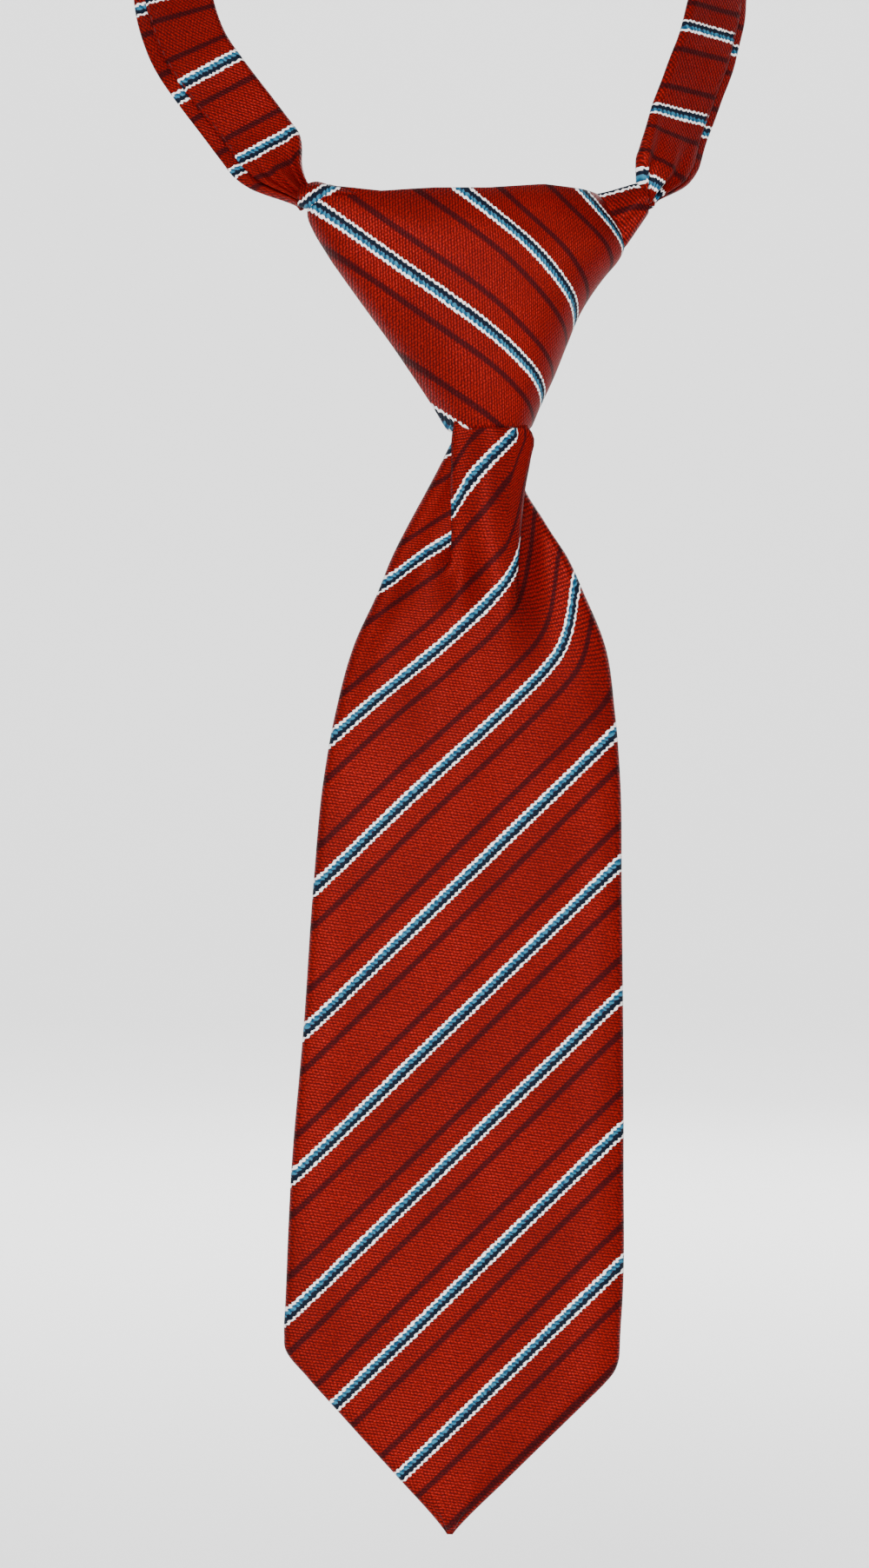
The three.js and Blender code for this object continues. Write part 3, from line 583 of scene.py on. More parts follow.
def blade_rows():
    """Control points of the folded cloth at each height, from the left flap at
    the seam, round the left edge, over the pleated front and back to the seam."""
    z = blade_heights()
    left, right = curve_through(z, BLADE_OUTLINE).T
    fold_l, fold_r, tuck_l, tuck_r, step_l, step_r = curve_through(z, BLADE_FOLDS).T
    rise, edge, crown = curve_through(z, BLADE_RISE).T
    width = right - left
    closing = ease((z - TIP + 0.1) / 3.0)  # the front and back meet at the tip
    low = z < POINT_FROM
    narrow = np.clip(width / 60, 0, 1)
    seam, gap = (left + right) / 2, np.minimum(flap_gap(z), width * 0.45)
    fold_l = np.where(low, seam - 7.3 * narrow, fold_l)
    fold_r = np.where(low, seam + 8.2 * narrow, fold_r)
    tuck_l = np.where(low, -6 * narrow, tuck_l)
    tuck_r = np.where(low, -6 * narrow, tuck_r)
    half = np.minimum(edge / 2 * closing, width * 0.3)
    rise = np.minimum(rise, 2 * half + (rise - edge) * closing)
    mid = BACK - edge / 2
    front, back = mid - half, mid + half
    crest = np.where(low, front - (rise - 2 * half), BACK - rise)
    shoulder = (fold_r - fold_l) * 0.2
    inner_l, inner_r = fold_l + tuck_l, fold_r - tuck_r
    behind_l, behind_r = crest + step_l, crest + step_r

    places = [
        (seam - gap, back - 0.5 * closing),
        (seam - gap - 0.3 * narrow, back),
        (mix(left + 1.1 * half, seam - gap, 0.4), back),
        (left + 1.1 * half, back),
        (left + 0.3 * half, mid + 0.7 * half),
        (left, mid),
        (left + 0.3 * half, mid - 0.7 * half),
        (left + 1.2 * half, front),
        (mix(left + 1.2 * half, inner_l, 0.5), mix(front, behind_l, 0.62)),
        (inner_l, behind_l),
        (fold_l, mix(crest, behind_l, 0.5)),
        (fold_l + shoulder, crest + crown * 0.35),
        ((fold_l + fold_r) / 2, crest - crown * 0.5),
        (fold_r - shoulder, crest + crown * 0.35),
        (fold_r, mix(crest, behind_r, 0.5)),
        (inner_r, behind_r),
        (mix(inner_r, right - 1.2 * half, 0.5), mix(behind_r, front, 0.5)),
        (right - 1.2 * half, front),
        (right - 0.3 * half, mid - 0.7 * half),
        (right, mid),
        (right - 0.3 * half, mid + 0.7 * half),
        (right - 1.1 * half, back),
        (mix(right - 1.1 * half, seam + gap, 0.4), back),
        (seam + gap + 0.3 * narrow, back),
        (seam + gap, back - 0.5 * closing),
    ]
    steps = [1, 6, 6, 3, 3, 3, 3, 6, 7, 4, 4, 7, 7, 4, 4, 7, 6, 3, 3, 3, 3, 6, 6, 1]
    return points_at(z, places), steps, z


# How far the pleats draw the stripes out of line, in distance across the
# stripes: on the middle of the front, and on the panel left of the ridge.
MIDDLE_DRAWN = [
    (-43.0, 1.8), (-58.0, 1.6), (-68.0, 2.8), (-80.0, 2.6), (-90.0, 2.4),
    (-98.0, 1.8), (-107.0, 1.0), (-115.0, 0.5), (-126.0, 0.1), (-142.0, 0.0),
]
LEFT_DRAWN = [
    (-43.0, 15.6), (-54.0, 14.2), (-61.0, 11.9), (-68.0, 9.0), (-73.0, 7.1),
    (-78.0, 5.8), (-83.0, 4.6), (-90.0, 2.6), (-98.0, 1.6), (-107.0, 0.6),
    (-115.0, 0.1), (-126.0, 0.0), (-142.0, 0.0),
]
LEFT_EDGE, LEFT_TUCK = 5, 9  # control points of the folded row
RIGHT_TUCK, RIGHT_EDGE = 15, 19
# The right panel's stripes turn down along a slanting line through the ridge's
# right fold, as the cloth there is drawn up into the pleat.
TURN_X, TURN_Z, TURN_SLOPE = 9.6, -85.0, -1.02
TURN_SHARE = 0.56  # drawn for each millimetre above the line
TURN_BLUR, TURN_MOST = 3.4, 24


def drawn_stripes(grid, steps, z):
    """How far each point's stripes are drawn out of line by the throat's pleats."""
    places = np.cumsum([0] + steps)
    columns = np.arange(grid.shape[1])
    x = np.clip(columns, places[LEFT_EDGE], places[RIGHT_EDGE])
    x = np.take(grid[..., 0], x, axis=1)
    middle = curve_through(z, MIDDLE_DRAWN)[:, None]
    middle = middle * np.clip((24 - x) / 22, 0, 1) * np.clip((x + 36) / 28, 0, 1)
    left = curve_through(z, LEFT_DRAWN)[:, None]
    left_columns = places[LEFT_TUCK : LEFT_TUCK + 4]
    at_left = np.interp(columns, left_columns, [1.0, 0.15, 0.0, 0.0])
    right_columns = places[RIGHT_TUCK - 2 : RIGHT_TUCK + 1]
    at_right = np.interp(columns, right_columns, [0.0, 0.55, 1.0])
    turn_line = TURN_Z + TURN_SLOPE * (x - TURN_X)
    above = np.logaddexp(0, (z[:, None] - turn_line) / TURN_BLUR) * TURN_BLUR
    right = -TURN_SHARE * np.minimum(above, TURN_MOST)
    return mix(middle, left, at_left[None]) + right * at_right[None]


# [across, height, reach across, reach up, depth] of the dents in the front; the
# ones below zero are swellings.
DENTS = [
    (-2.5, -80.0, 4.5, 9.0, 3.6), (-9.0, -99.0, 8.0, 12.0, 1.6),
    (14.5, -76.0, 4.0, 14.0, 2.8), (7.5, -87.0, 4.5, 8.0, -1.4),
    (2.0, -66.0, 3.5, 9.0, -0.8), (22.0, -101.0, 6.0, 12.0, -0.9),
    (-20.0, -93.0, 6.0, 12.0, -0.8),
]


def soft_creases(grid, z):
    """The dents and swellings round the throat, and the faint ripples of cloth
    that has been pressed over felt."""
    x, depth, height = grid[..., 0], grid[..., 1], z[:, None]
    front = ease((BACK - 1.6 - depth) / 1.2)  # 0 on the blade's back
    dent = np.zeros_like(x)
    for at_x, at_z, reach_x, reach_z, deep in DENTS:
        far = ((x - at_x) / reach_x) ** 2 + ((height - at_z) / reach_z) ** 2
        dent += deep * np.exp(-far)
    ripple = np.sin(x * 0.16 + height * 0.05) + 0.6 * np.sin(x * 0.07 - height * 0.11)
    grid[..., 1] += front * (dent + 0.13 * ripple * ease((-height - 70) / 60))
    return grid


def blade_cloth():
    controls, steps, z = blade_rows()
    grid = soft_creases(lines_through(controls, steps), z)
    places = np.cumsum([0] + steps)
    first, last = places[LEFT_EDGE], places[RIGHT_EDGE]
    length = arc_lengths(grid, 1)
    across = grid[..., 0].copy()
    across[:, :first] = across[:, first, None] - length[:, first, None] + length[:, :first]
    across[:, last:] = across[:, last, None] - length[:, last, None] + length[:, last:]
    up = np.repeat(z[:, None], grid.shape[1], axis=1)
    flat = in_stripes(across, up, STRIPE_ANGLE, BLADE_STRIPES)
    flat[..., 0] += drawn_stripes(grid, steps, z)
    obj = cloth("blade_folded_cloth", grid, flat, TWILL)
    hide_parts("blade_head", "blade_shell", "blade_interlining")
    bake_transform(obj)


def lining_cloth():
    """The satin inside the tip, seen between the parted flaps of the back."""
    rows, columns = 60, 40
    z = np.linspace(SEAM_END + 10, TIP + 3.8, rows)
    left, right = curve_through(z, BLADE_OUTLINE).T
    margin = np.minimum(1.6, (right - left) * 0.2)
    across = np.linspace(0, 1, columns)[None]
    x = mix((left + margin)[:, None], (right - margin)[:, None], across)
    height = np.repeat(z[:, None], columns, axis=1)
    ripple = 0.12 * np.sin(x * 0.35 + height * 0.12) + 0.06 * np.sin(height * 0.5)
    grid = np.stack([x, BACK - 1.15 + ripple, height], axis=2)
    obj = cloth("tip_lining_cloth", grid, grid[..., [0, 2]], LINING, thick=0.3)
    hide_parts("tip_lining")
    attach(obj, "blade")


# ---------------------------------------------------------------------- knot
# [height, left edge, right edge, front, back] of the wrap
KNOT_OUTLINE = [
    (0.0, -31.8, 25.6, -6.8, 7.6), (-1.5, -33.2, 27.0, -8.0, 7.8),
    (-5.0, -34.2, 29.0, -9.6, 8.0), (-8.5, -32.8, 30.4, -10.6, 8.0),
    (-12.0, -30.7, 31.0, -11.2, 8.0), (-14.4, -29.2, 29.8, -11.4, 8.0),
    (-17.1, -27.3, 27.5, -11.5, 8.0), (-25.2, -21.5, 22.0, -11.4, 7.8),
    (-31.5, -16.9, 19.3, -10.9, 7.4), (-38.7, -12.0, 16.4, -10.0, 6.8),
    (-45.9, -7.3, 13.1, -8.6, 6.2), (-49.6, -5.0, 11.7, -7.7, 5.9),
]
KNOT_TOP_LINE = [
    (-34.0, 0.6), (-31.0, 0.7), (-26.0, 0.2), (-19.0, -0.7), (-8.0, -0.2),
    (3.0, -0.3), (14.6, 0.5), (23.0, -0.3), (27.0, -1.0), (31.0, -1.6),
]
KNOT_ANGLE = math.radians(144)  # of its stripes, which fall to the right
KNOT_STRIPES = -21.97  # sets where the wrap's light stripes fall
TURNED_STRETCH = 1.46  # how far the cloth round the right side is drawn up


def knot_ring(z):
    """The wrap's section at each height: a sharp fold at the left, a full front
    that leans to the right, and a soft roll over the right side."""
    left, right, front, back = curve_through(z, KNOT_OUTLINE).T
    width = right - left
    middle = (left + right) / 2

    places = [
        (middle, back),
        (left + 0.2 * width, back * 0.96),
        (left + 2.4, back * 0.55),
        (left + 0.5, back * 0.14),
        (left, -0.5),
        (left + 1.0, front * 0.28),
        (left + 0.2 * width, front * 0.7),
        (left + 0.46 * width, front * 0.95),
        (left + 0.68 * width, front),
        (right - 0.17 * width, front * 0.9),
        (right - 0.05 * width, front * 0.56),
        (right, front * 0.06),
        (right - 0.05 * width, back * 0.55),
        (right - 0.2 * width, back * 0.97),
        (middle, back),
    ]
    return points_at(z, places), [8, 8, 5, 3, 3, 9, 12, 10, 8, 7, 6, 5, 6, 8]


def inset_ring(controls, amount):
    """A section drawn in towards its middle."""
    middle = controls.mean(axis=1, keepdims=True)
    outward = controls - middle
    outward[..., 2] = 0
    size = np.linalg.norm(outward, axis=2, keepdims=True)
    scale = np.clip(1 - amount[:, None, None] / np.maximum(size, 1), 0.3, 1)
    drawn = middle + outward * scale
    drawn[..., 2] = controls[..., 2]
    return drawn


def wrapped_across(grid, z, fold):
    """Each point's place across the wrap's cloth, from the fold at its left."""
    x = grid[..., 0]
    left, right, _, _ = curve_through(z, KNOT_OUTLINE).T
    share = (x - left[:, None]) / (right - left)[:, None]
    step = np.linalg.norm(np.diff(grid, axis=1)[..., :2], axis=2)
    plain = np.abs(np.diff(x, axis=1))
    turned = ease((share[:, 1:] - 0.42) / 0.4)
    run = mix(plain, step * TURNED_STRETCH, turned)
    across = np.concatenate([np.zeros((len(z), 1)), np.cumsum(run, axis=1)], axis=1)
    return across + (left - across[:, fold])[:, None]


def knot_wrap():
    # [height, distance in] from inside the top, over its rolled rim and down the
    # outside to the rolled mouth
    rows = [(-6, 2.3), (-3, 2.0), (-1.4, 1.5), (-0.5, 0.9), (-0.1, 0.35), (-0.15, 0.08)]
    rows += [(-0.6, 0.0)] + [(z, 0.0) for z in np.arange(-1.4, -48.6, -0.8)]
    rows += [(-49.0, 0.05), (-49.45, 0.3), (-49.6, 0.75), (-49.3, 1.15), (-47.5, 1.5)]
    rows += [(-44.0, 1.7)]
    z = np.array([row[0] for row in rows])
    inset = np.array([row[1] for row in rows])
    controls, steps = knot_ring(z)
    grid = lines_through(inset_ring(controls, inset), steps)
    x, y, height = grid[..., 0], grid[..., 1], grid[..., 2]

    top = np.interp(x, *np.array(KNOT_TOP_LINE).T)
    grid[..., 2] += top * ease((height + 9) / 9)
    grid[..., 2] += 0.27 * np.sin((x - 2) * 0.22) * ease((-height - 44) / 6)
    # shallow drapes in the front, running with the pull of the wrap
    pull = x * 0.62 + height * 0.78
    drape = 0.35 * np.sin(pull * 0.19 + 0.6) + 0.16 * np.sin(pull * 0.47 + x * 0.05)
    grid[..., 1] += drape * ease((-y - 3) / 5) * ease((-height - 1) / 8)

    across = wrapped_across(grid, z, fold=sum(steps[:4]))
    flat = in_stripes(across, grid[..., 2], KNOT_ANGLE, KNOT_STRIPES)
    obj = cloth("knot_wrap_cloth", grid, flat, TWILL, thick=0.5)
    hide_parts("knot_wrap")
    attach(obj, "knot")


def knot_former():
    """The moulded former that fills the knot."""
    z = np.concatenate([[-2.8, -2.6], np.arange(-3.4, -34, -1.6), [-35.0, -35.2]])
    inset = np.full(len(z), 2.6)
    inset[0], inset[-1] = 12.0, 8.0
    inset[1], inset[-2] = 3.4, 3.4
    controls, steps = knot_ring(z)
    grid = lines_through(inset_ring(controls, inset), steps)
    former = cloth("former_moulding", grid, grid[..., [0, 2]], PLASTIC, thick=0)
    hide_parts("knot_former")
    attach(former, "knot")


def knot_top():
    """The folded cloth over the knot's top, which narrows to a line of folds."""
    count = 9
    controls, steps = knot_ring(np.full(count, -1.0))
    outline = lines_through(inset_ring(controls, np.full(count, 1.1)), steps)
    flattened = outline * np.array([1, 0.02, 1]) + np.array([0, 0.4, 0])
    share = np.linspace(0, 1, count)[:, None]
    grid = mix(outline, flattened, share[..., None])
    x, y = grid[..., 0], grid[..., 1]
    top = np.interp(x, *np.array(KNOT_TOP_LINE).T)
    puff = 0.5 * np.sin(share * math.pi) - 0.5 * share
    grid[..., 2] = top - 0.9 + puff + 0.12 * np.sin(x * 0.5 + y * 0.3)
    flat = in_stripes(x, y, KNOT_ANGLE, KNOT_STRIPES)
    fold = cloth("knot_top_cloth", grid, flat, TWILL, thick=0.4)
    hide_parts("knot_top_fold")
    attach(fold, "knot")


def knot_back():
    """The flat panel over the knot's back that closes the wrap."""
    low, high = knot_frame_box("knot_back_panel")
    rows, columns = 40, 30
    v = np.linspace(0, 1, rows)[:, None]
    u = np.linspace(-1, 1, columns)[None]
    z = mix(high[2], low[2], v) + 0 * u
    left, right, _, _ = curve_through(z[:, 0], KNOT_OUTLINE).T
    middle = ((left + right) / 2)[:, None]
    half = np.minimum((right - left)[:, None] / 2 - 3.2, (high[0] - low[0]) / 2)
    x = middle + u * half
    edge = np.clip(np.minimum(1 - np.abs(u), np.minimum(v, 1 - v) * 3) / 0.12, 0, 1)
    y = high[1] - 0.5 + 0.9 * edge**0.5 + 0.15 * np.sin(x * 0.4 + z * 0.2)
    grid = np.stack([x, y, z], axis=2)
    flat = in_stripes(x, z, STRIPE_ANGLE, 6.0)
    panel = cloth("knot_back_cloth", grid, flat, TWILL, thick=0.5, turn=True)
    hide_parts("knot_back_panel")
    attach(panel, "knot")


# [distance from the knot's middle, bottom, top, front, back] of each wing
RIGHT_WING = [
    (20.0, -10.0, -0.8, -1.0, 5.0), (25.0, -12.4, -0.3, -1.2, 5.0),
    (29.0, -13.4, 0.5, -1.8, 4.6), (31.4, -11.9, 1.1, -2.8, 4.0),
    (34.0, -8.4, 1.7, -3.4, 3.0), (36.6, -4.6, 1.5, -3.0, 2.0),
]
LEFT_WING = [
    (-24.0, -2.6, 0.2, -5.4, 4.0), (-27.5, -2.6, 0.8, -5.8, 4.0),
    (-30.5, -2.9, 1.5, -5.2, 3.6), (-33.0, -3.4, 2.0, -4.6, 3.0),
    (-35.0, -3.6, 1.4, -3.8, 2.4), (-36.6, -3.2, 0.6, -2.8, 1.8),
]


def wing(side, sections, stripes_at):
    """The gathered cloth between the wrap and a band: a flattened tube with
    pleats that run together at the pinch."""
    x = np.linspace(sections[0][0], sections[-1][0], 34)
    low, high, front, back = curve_through(x, sections).T[:, :, None]
    turn = np.linspace(0, 2 * math.pi, 49)[None]
    up, depth = np.cos(turn), -np.sin(turn)
    z = mix(low, high, 0.5 + up * 0.5)
    y = mix(front, back, 0.5 + depth * 0.5)
    share = np.linspace(0, 1, len(x))[:, None]
    pleat = 0.5 * share * np.sin(5 * turn + 1.2) + 0.2 * np.sin(9 * turn)
    y = y + pleat * np.sign(depth) * np.abs(depth) ** 0.5
    grid = np.stack([np.repeat(x[:, None], turn.size, 1), y, z], axis=2)
    name = f"knot_wing_{side}_cloth"
    obj = cloth(name, grid, stripes_at(grid), TWILL, thick=0.4, turn=side == "left")
    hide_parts(f"knot_wing_{side}")
    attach(obj, "knot")


def right_wing_stripes(grid):
    top = curve_through(grid[:, 0, 0], RIGHT_WING)[:, 1]
    s = grid[..., 2] - top[:, None] - 0.4
    return np.stack([s, grid[..., 0]], axis=2)


def left_wing_stripes(grid):
    s = 0.55 * (grid[..., 0] + 31) - 0.83 * (grid[..., 2] + 0.5)
    t = 0.83 * grid[..., 0] + 0.55 * grid[..., 2]
    return np.stack([s, t], axis=2)


# --------------------------------------------------------------------- bands
def in_plane(x, v):
    """A direction in the neck loop's plane; v is its uphill part."""
    parts = [x, v * math.cos(LOOP_TILT), v * math.sin(LOOP_TILT)]
    return np.stack(np.broadcast_arrays(*parts), axis=-1)


class BandPath:
    """One side of the neck loop: straight from the knot, then round the neck."""

    def __init__(self, pinch_x, side, end_degrees):
        reach = math.hypot(pinch_x, LOOP_DEPTH)
        self.side = side
        self.pinch_x = pinch_x
        self.straight = math.sqrt(reach**2 - LOOP_RADIUS**2)
        towards = math.atan2(LOOP_DEPTH, -pinch_x)
        self.heading = towards - side * math.asin(LOOP_RADIUS / reach)
        start = self.heading - side * math.pi / 2
        turn = side * (math.radians(end_degrees) - start) % (2 * math.pi)
        self.length = self.straight + turn * LOOP_RADIUS

    def at(self, s):
        """Place, direction along and direction in to the neck at each s."""
        angle = self.heading + self.side * np.maximum(0, s - self.straight) / LOOP_RADIUS
        along = in_plane(np.cos(angle), np.sin(angle))
        inward = in_plane(-self.side * np.sin(angle), self.side * np.cos(angle))
        run = np.minimum(s, self.straight)
        straight = in_plane(
            self.pinch_x + run * math.cos(self.heading), run * math.sin(self.heading)
        )
        curved = in_plane(0.0, LOOP_DEPTH) - LOOP_RADIUS * inward
        place = np.where((s > self.straight)[:, None], curved, straight)
        return place + HINGE * np.array([0, 1, 1]), along, inward


# [across the band, out from its middle] round the folded section, from the seam
# at the back, round the outer edge, the strip, the crease, the face and back
BAND_SECTION = np.array([
    (-3.4, -0.95), (-7.4, -0.9), (-8.35, -0.45), (-8.5, -0.05), (-8.25, 0.35),
    (-7.2, 0.5), (-5.9, 0.42), (-4.6, 0.32), (-4.3, 0.6), (-5.5, 0.75),
    (-5.85, 0.98), (-5.3, 1.25), (-3.0, 1.4), (1.0, 1.25), (6.0, 1.15),
    (7.9, 0.95), (8.5, 0.2), (8.2, -0.6), (7.0, -0.95), (2.0, -0.98), (-2.9, -0.95),
])
BAND_STEPS = [3, 2, 2, 2, 3, 3, 3, 2, 3, 2, 2, 4, 6, 7, 4, 3, 3, 3, 5, 5]
STRIP_COLUMNS = sum(BAND_STEPS[:7])  # up to the tuck beside the crease
GATHER = 15.0  # the band is gathered over this length next to the knot
BAND_HALF = 8.5
STITCH_COLUMN = sum(BAND_STEPS[:11])  # just inside the crease
STITCH_STEP = 3.0
STITCH_LENGTH = 0.62  # of each step
STITCH_RADIUS = 0.17
# For each band: where it leaves the knot, which side, the loop's angle where it
# ends, its roll out of the loop's plane at the knot, and then its stripes: the
# first one's distance from the knot, how much of the cloth's length a millimetre
# takes, how far they slip at the outer strip, slant over the width, and are drawn
# along and slanted in the gather. It lies off_line to the right of its path near
# the knot and further on, and its inner half opens over inner_opens.
BANDS = {
    "left": {
        "pinch_x": -29.2, "side": -1, "end_degrees": 112, "roll": 6,
        "first_stripe": 13.6, "stretch": 0.953, "slip": 1.6, "slant": 0,
        "drawn": 0, "lean": 0, "off_line": (-2.0, -2.6), "inner_opens": 14,
    },
    "right": {
        "pinch_x": 41.8, "side": 1, "end_degrees": 40, "roll": 45,
        "first_stripe": 20.6, "stretch": -0.975, "slip": -2.2, "slant": 0.36,
        "drawn": 2.6, "lean": 5, "off_line": (3.0, 2.4), "inner_opens": 7,
    },
}


def crease_stitches(side, line, beside):
    """Running stitches that hold the crease, each sunk a little at its ends."""
    distance = arc_lengths(line[:, None], 0)[:, 0]
    normal = np.cross(np.gradient(line, axis=0), beside - line)
    normal /= np.linalg.norm(normal, axis=1, keepdims=True)
    points, faces = [], []
    for start in np.arange(20, distance[-1] - 4, STITCH_STEP):
        for share in np.linspace(0, 1, 7):
            at = start + share * STITCH_STEP * STITCH_LENGTH
            index = min(np.searchsorted(distance, at), len(line) - 2)
            centre = mix(line[index - 1], line[index], 0.5)
            along = line[index + 1] - line[index]
            up = normal[index] * BANDS[side]["side"]
            aside = np.cross(along, up) / np.linalg.norm(along)
            rise = math.sin(share * math.pi)
            radius = STITCH_RADIUS * (0.35 + 0.65 * rise)
            base = len(points)
            for k in range(6):
                a = math.pi / 3 * k
                offset = aside * math.cos(a) + up * (math.sin(a) + 0.5 * rise)
                points.append((centre + offset * radius) * MM)
            if share > 0:
                for k in range(6):
                    a, b = base + k, base + (k + 1) % 6
                    faces.append((a, b, b - 6, a - 6))
    obj = object_from(f"crease_stitches_{side}", points, faces, THREAD)
    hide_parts(f"band_topstitch_{side}")
    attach(obj, "neck_loop")


def band_section(count):
    """The folded section at each step, as places across it and out from it."""
    level = np.zeros((len(BAND_SECTION), 1))
    controls = np.concatenate([BAND_SECTION, level], axis=1)
    section = lines_through(np.repeat(controls[None], count, axis=0), BAND_STEPS)
    return section[..., 0], section[..., 1]


def band_places(s, path, roll, off_line):
    """The band's middle line, the way across it and the way out from it."""
    place, along, inward = path.at(s)
    turn = np.radians(mix(roll, 90, ease((s - 48) / 60)))[:, None]
    across = inward * np.cos(turn) + LOOP_UP * np.sin(turn)
    out = np.cross(along, across) * path.side
    near, far = np.array(off_line)
    shift = near * ease((s + 1) / 9) + far * ease((s - 8) / 36)
    place = place + in_plane(shift * (1 - ease((s - 55) / 55)), 0.0)
    return place, across, out


def band_cloth(side, settings):
    path = BandPath(settings["pinch_x"], settings["side"], settings["end_degrees"])
    s = np.linspace(-1.0, path.length, 210)
    place, across, out = band_places(s, path, settings["roll"], settings["off_line"])
    flat_u, w = band_section(len(s))
    s_row = s[:, None]

    outer = mix(0.24, 1, ease(s_row / (GATHER * 0.9)) ** 0.62)
    inner = mix(0.3, 1, ease(s_row / settings["inner_opens"]))
    u = np.where(flat_u < 0, flat_u * outer, flat_u * inner)
    loose = 1 - ease((s_row - 1) / (GATHER + 3))
    share = flat_u / BAND_HALF
    face = np.clip((w + 0.6) / 1.2, 0, 1)
    folds = np.sin(share * 7.5 + 0.8) * 0.8 + 0.25 * np.sin(share * 15 + 2)
    easing = 0.18 * np.sin(s_row * 0.21) + 0.1 * np.sin(s_row * 0.53 + 1)
    w = w * mix(1, 1.35, loose) + face * loose * folds + easing * (1 - loose)
    grid = place[:, None] + across[:, None] * u[..., None] + out[:, None] * w[..., None]

    strip = (np.arange(grid.shape[1]) <= STRIP_COLUMNS)[None]
    slanted = s_row + settings["slant"] * flat_u * (s_row < 60)
    distance = (slanted - settings["first_stripe"]) * settings["stretch"]
    distance = distance + strip * settings["slip"]
    gathered = settings["drawn"] + settings["lean"] * share - 1.4 * share**2
    flat = np.stack([distance + gathered * loose, flat_u], axis=2)

    name, turned = f"band_{side}_cloth", side == "right"
    obj = cloth(name, grid, flat, TWILL, origin=np.zeros(3), turn=turned)
    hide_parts(f"band_{side}", f"band_stiffener_{side}")
    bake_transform(obj)
    crease_stitches(side, grid[:, STITCH_COLUMN], grid[:, STITCH_COLUMN + 3])


# ------------------------------------------------------- small parts, hardware
METAL_ROUNDING = 0.28
WEBBING_ROUNDING = 0.18


def softened(node, material, bevel):
    """A small part again, with its corners rounded off."""
    source = frame["nodes"][node]
    obj = bpy.data.objects.new(f"{node}_finished", source.data.copy())
    bpy.context.scene.collection.objects.link(obj)
    obj.data.materials.clear()
    obj.data.materials.append(material)
    rounding = obj.modifiers.new("rounding", "BEVEL")
    rounding.width = bevel * MM
    rounding.segments = 3
    rounding.limit_method = "ANGLE"
    rounding.angle_limit = math.radians(32)
    apply_modifiers(obj)
    obj.data.shade_smooth()
    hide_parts(node)
    return obj


def hardware():
    bodies = {"clasp_eye": "neck_loop", "clasp_hook": "hook", "slider": "slider"}
    for node, body in bodies.items():
        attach(softened(node, NICKEL, METAL_ROUNDING), body)
    for node in ("eye_tab", "adjuster_strap"):
        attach(softened(node, WEBBING, WEBBING_ROUNDING), "neck_loop")
    # the strap's returning run stretches between the hook's end and the slider
    strap = softened("strap_return", WEBBING, WEBBING_ROUNDING)
    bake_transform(strap)


def care_label():
    """A blank satin label, sewn down along its top and lifting a little below."""
    low, high = knot_frame_box("care_label")
    v = np.linspace(0, 1, 24)[:, None]
    u = np.linspace(0, 1, 14)[None]
    x = mix(low[0], high[0], u) + 0 * v
    z = mix(high[2], low[2], v) + 0 * u
    y = BACK + 0.25 + 0.5 * ease(v * 1.2) + 0.35 * np.sin(u * math.pi) * v
    grid = np.stack([x, y, z], axis=2)
    label = cloth("care_label_satin", grid, grid[..., [0, 2]], LABEL, thick=0.18, turn=True)
    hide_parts("care_label")
    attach(label, "blade")


def thread_run(points, radius, sides=6):
    """The points and faces of a thread along a line, thinner at its ends."""
    points = np.array(points, float)
    along = np.gradient(points, axis=0)
    aside = np.cross(along, np.array([0, 1.0, 0.05]))
    aside /= np.linalg.norm(aside, axis=1, keepdims=True)
    up = np.cross(aside, along)
    up /= np.linalg.norm(up, axis=1, keepdims=True)
    share = np.linspace(0, math.pi, len(points))
    size = radius * (0.4 + 0.6 * np.sin(share))
    rings, faces = [], []
    for i, centre in enumerate(points):
        for k in range(sides):
            a = 2 * math.pi * k / sides
            rings.append(centre + size[i] * (aside[i] * math.cos(a) + up[i] * math.sin(a)))
    for i in range(len(points) - 1):
        for k in range(sides):
            a, b = i * sides + k, i * sides + (k + 1) % sides
            faces.append((a, a + sides, b + sides, b))
    faces.append(tuple(range(sides)))
    faces.append(tuple(range(len(rings) - 1, len(rings) - sides - 1, -1)))
    return rings, faces


def thread_piece(name, runs, body, node):
    """Many short runs of thread as one piece."""
    points, faces = [], []
    for line, radius in runs:
        ring, face = thread_run(line, radius)
        faces += [tuple(k + len(points) for k in f) for f in face]
        points += [(p + KNOT_FRAME) * MM for p in ring]
    obj = object_from(name, points, faces, THREAD)
    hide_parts(node)
    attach(obj, body)


def stitch_line(place, step, bulge, shares=7):
    """A short stitch through a place, along step each way and bowed out."""
    place, step = np.array(place), np.array(step)
    share = np.linspace(-1, 1, shares)[:, None]
    return place + step * share + np.array([0, -bulge, 0]) * share**2


def seam_stitches():
    """The slip stitches down the blade's back seam."""
    seam = []
    for z in np.arange(-66, SEAM_END + 3, -8):
        place = (float(blade_seam(np.array([z]))[0]), BACK + 0.28, z)
        seam.append((stitch_line(place, (1.0, 0, -1.4), 0.3), 0.17))
    thread_piece("back_seam_stitches", seam, "blade", "back_seam_thread")


def bar_tack():
    """The close stitches that end the seam, alternately high and low."""
    low, high = knot_frame_box("seam_bar_tack")
    middle = (low[2] + high[2]) / 2
    tack = []
    for k, x in enumerate(np.arange(low[0], high[0], 0.34)):
        place = (x, BACK + 0.42, middle + (0.025 if k % 2 else -0.025))
        tack.append((stitch_line(place, (0.17, 0, 0.62), 0.3, shares=5), 0.2))
    thread_piece("bar_tack_stitches", tack, "blade", "seam_bar_tack")


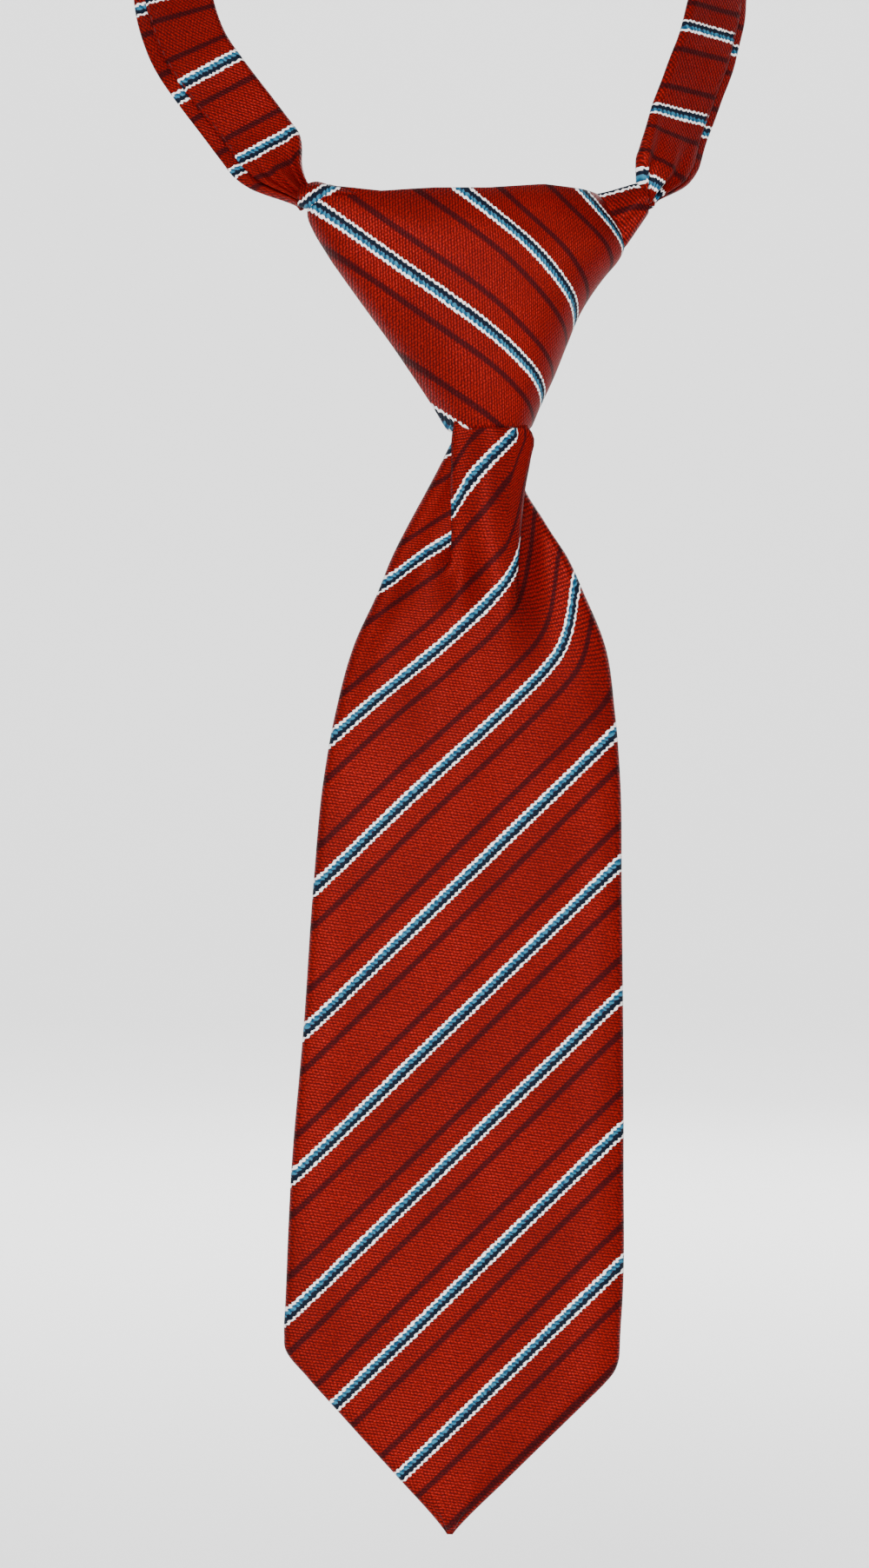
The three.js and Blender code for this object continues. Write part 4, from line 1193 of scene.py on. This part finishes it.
def closing_stitches():
    """The stitches that hold the wrap shut on the knot's back."""
    low, high = knot_frame_box("knot_tack_stitch")
    middle = (low[2] + high[2]) / 2
    closing = []
    for x in np.arange(low[0] + 0.8, high[0], 1.5):
        place = (x, high[1] - 0.2, middle)
        closing.append((stitch_line(place, (0.5, 0, 0.9), 0.5), 0.2))
    thread_piece("knot_closing_stitches", closing, "knot", "knot_tack_stitch")


# ------------------------------------------------------------------- staging
FLOOR = -0.42  # all in metres
WALL_RADIUS = 5.0
WALL_BEND = 1.5
WALL_TOP = 4.0


def backdrop():
    """A pale floor that curves up into a round wall, open at the top."""
    profile = [(1.0, FLOOR), (2.5, FLOOR)]
    for a in np.linspace(0, math.pi / 2, 13):
        out = WALL_RADIUS - WALL_BEND + WALL_BEND * math.sin(a)
        profile.append((out, FLOOR + WALL_BEND - WALL_BEND * math.cos(a)))
    profile.append((WALL_RADIUS, WALL_TOP))
    sides = 96
    points = []
    for r, z in profile:
        for turn in np.arange(sides) * 2 * math.pi / sides:
            points.append((r * math.cos(turn), r * math.sin(turn), z))
    faces = [tuple(range(sides))]
    for i in range(len(profile) - 1):
        for k in range(sides):
            a, b = i * sides + k, i * sides + (k + 1) % sides
            faces.append((b, a, a + sides, b + sides))
    object_from("backdrop", points, faces, PAPER)


def area_light(name, place, aim, size, power):
    light = bpy.data.lights.new(name, "AREA")
    light.shape = "DISK"
    light.size = size
    light.energy = power
    obj = bpy.data.objects.new(name, light)
    obj.location = place
    obj.rotation_euler = (Vector(aim) - Vector(place)).to_track_quat("-Z", "Y").to_euler()
    bpy.context.scene.collection.objects.link(obj)


def lights():
    aim = (0.0, -0.03, -0.15)
    area_light("key", (-0.2, -1.6, 0.2), aim, 0.5, 43)
    area_light("rear", (0.6, 1.7, 0.8), aim, 1.2, 26)
    area_light("wall", (0.0, 1.2, 2.6), (0.0, 4.6, 0.2), 2.0, 260)
    world = bpy.data.worlds.new("studio")
    bpy.context.scene.world = world
    world.use_nodes = True
    sky = world.node_tree.nodes["Background"]
    sky.inputs["Color"].default_value = (1.0, 1.0, 1.0, 1.0)
    sky.inputs["Strength"].default_value = 0.3


LENS, SENSOR = 100.0, 36.0
HEIGHT_SEEN = 324.7  # at the camera's aim
CAMERA_AIM = np.array([-8.1, -8.0, -123.7])  # in the knot's frame


def camera():
    """Level with the blade's upper half and square to the front."""
    data = bpy.data.cameras.new("photo_view")
    data.lens = LENS
    data.sensor_width = SENSOR
    data.sensor_fit = "AUTO"
    data.clip_start, data.clip_end = 0.01, 50
    obj = bpy.data.objects.new("photo_view", data)
    away = np.array([0, -LENS * HEIGHT_SEEN / SENSOR, 0])
    obj.location = (KNOT_FRAME + CAMERA_AIM + away) * MM
    obj.rotation_euler = (math.pi / 2, 0, 0)
    bpy.context.scene.collection.objects.link(obj)
    bpy.context.scene.camera = obj


camera()
backdrop()
lights()
blade_cloth()
lining_cloth()
knot_wrap()
knot_former()
knot_top()
knot_back()
wing("right", RIGHT_WING, right_wing_stripes)
wing("left", LEFT_WING, left_wing_stripes)
for band_side, band_settings in BANDS.items():
    band_cloth(band_side, band_settings)
hardware()
care_label()
seam_stitches()
bar_tack()
closing_stitches()
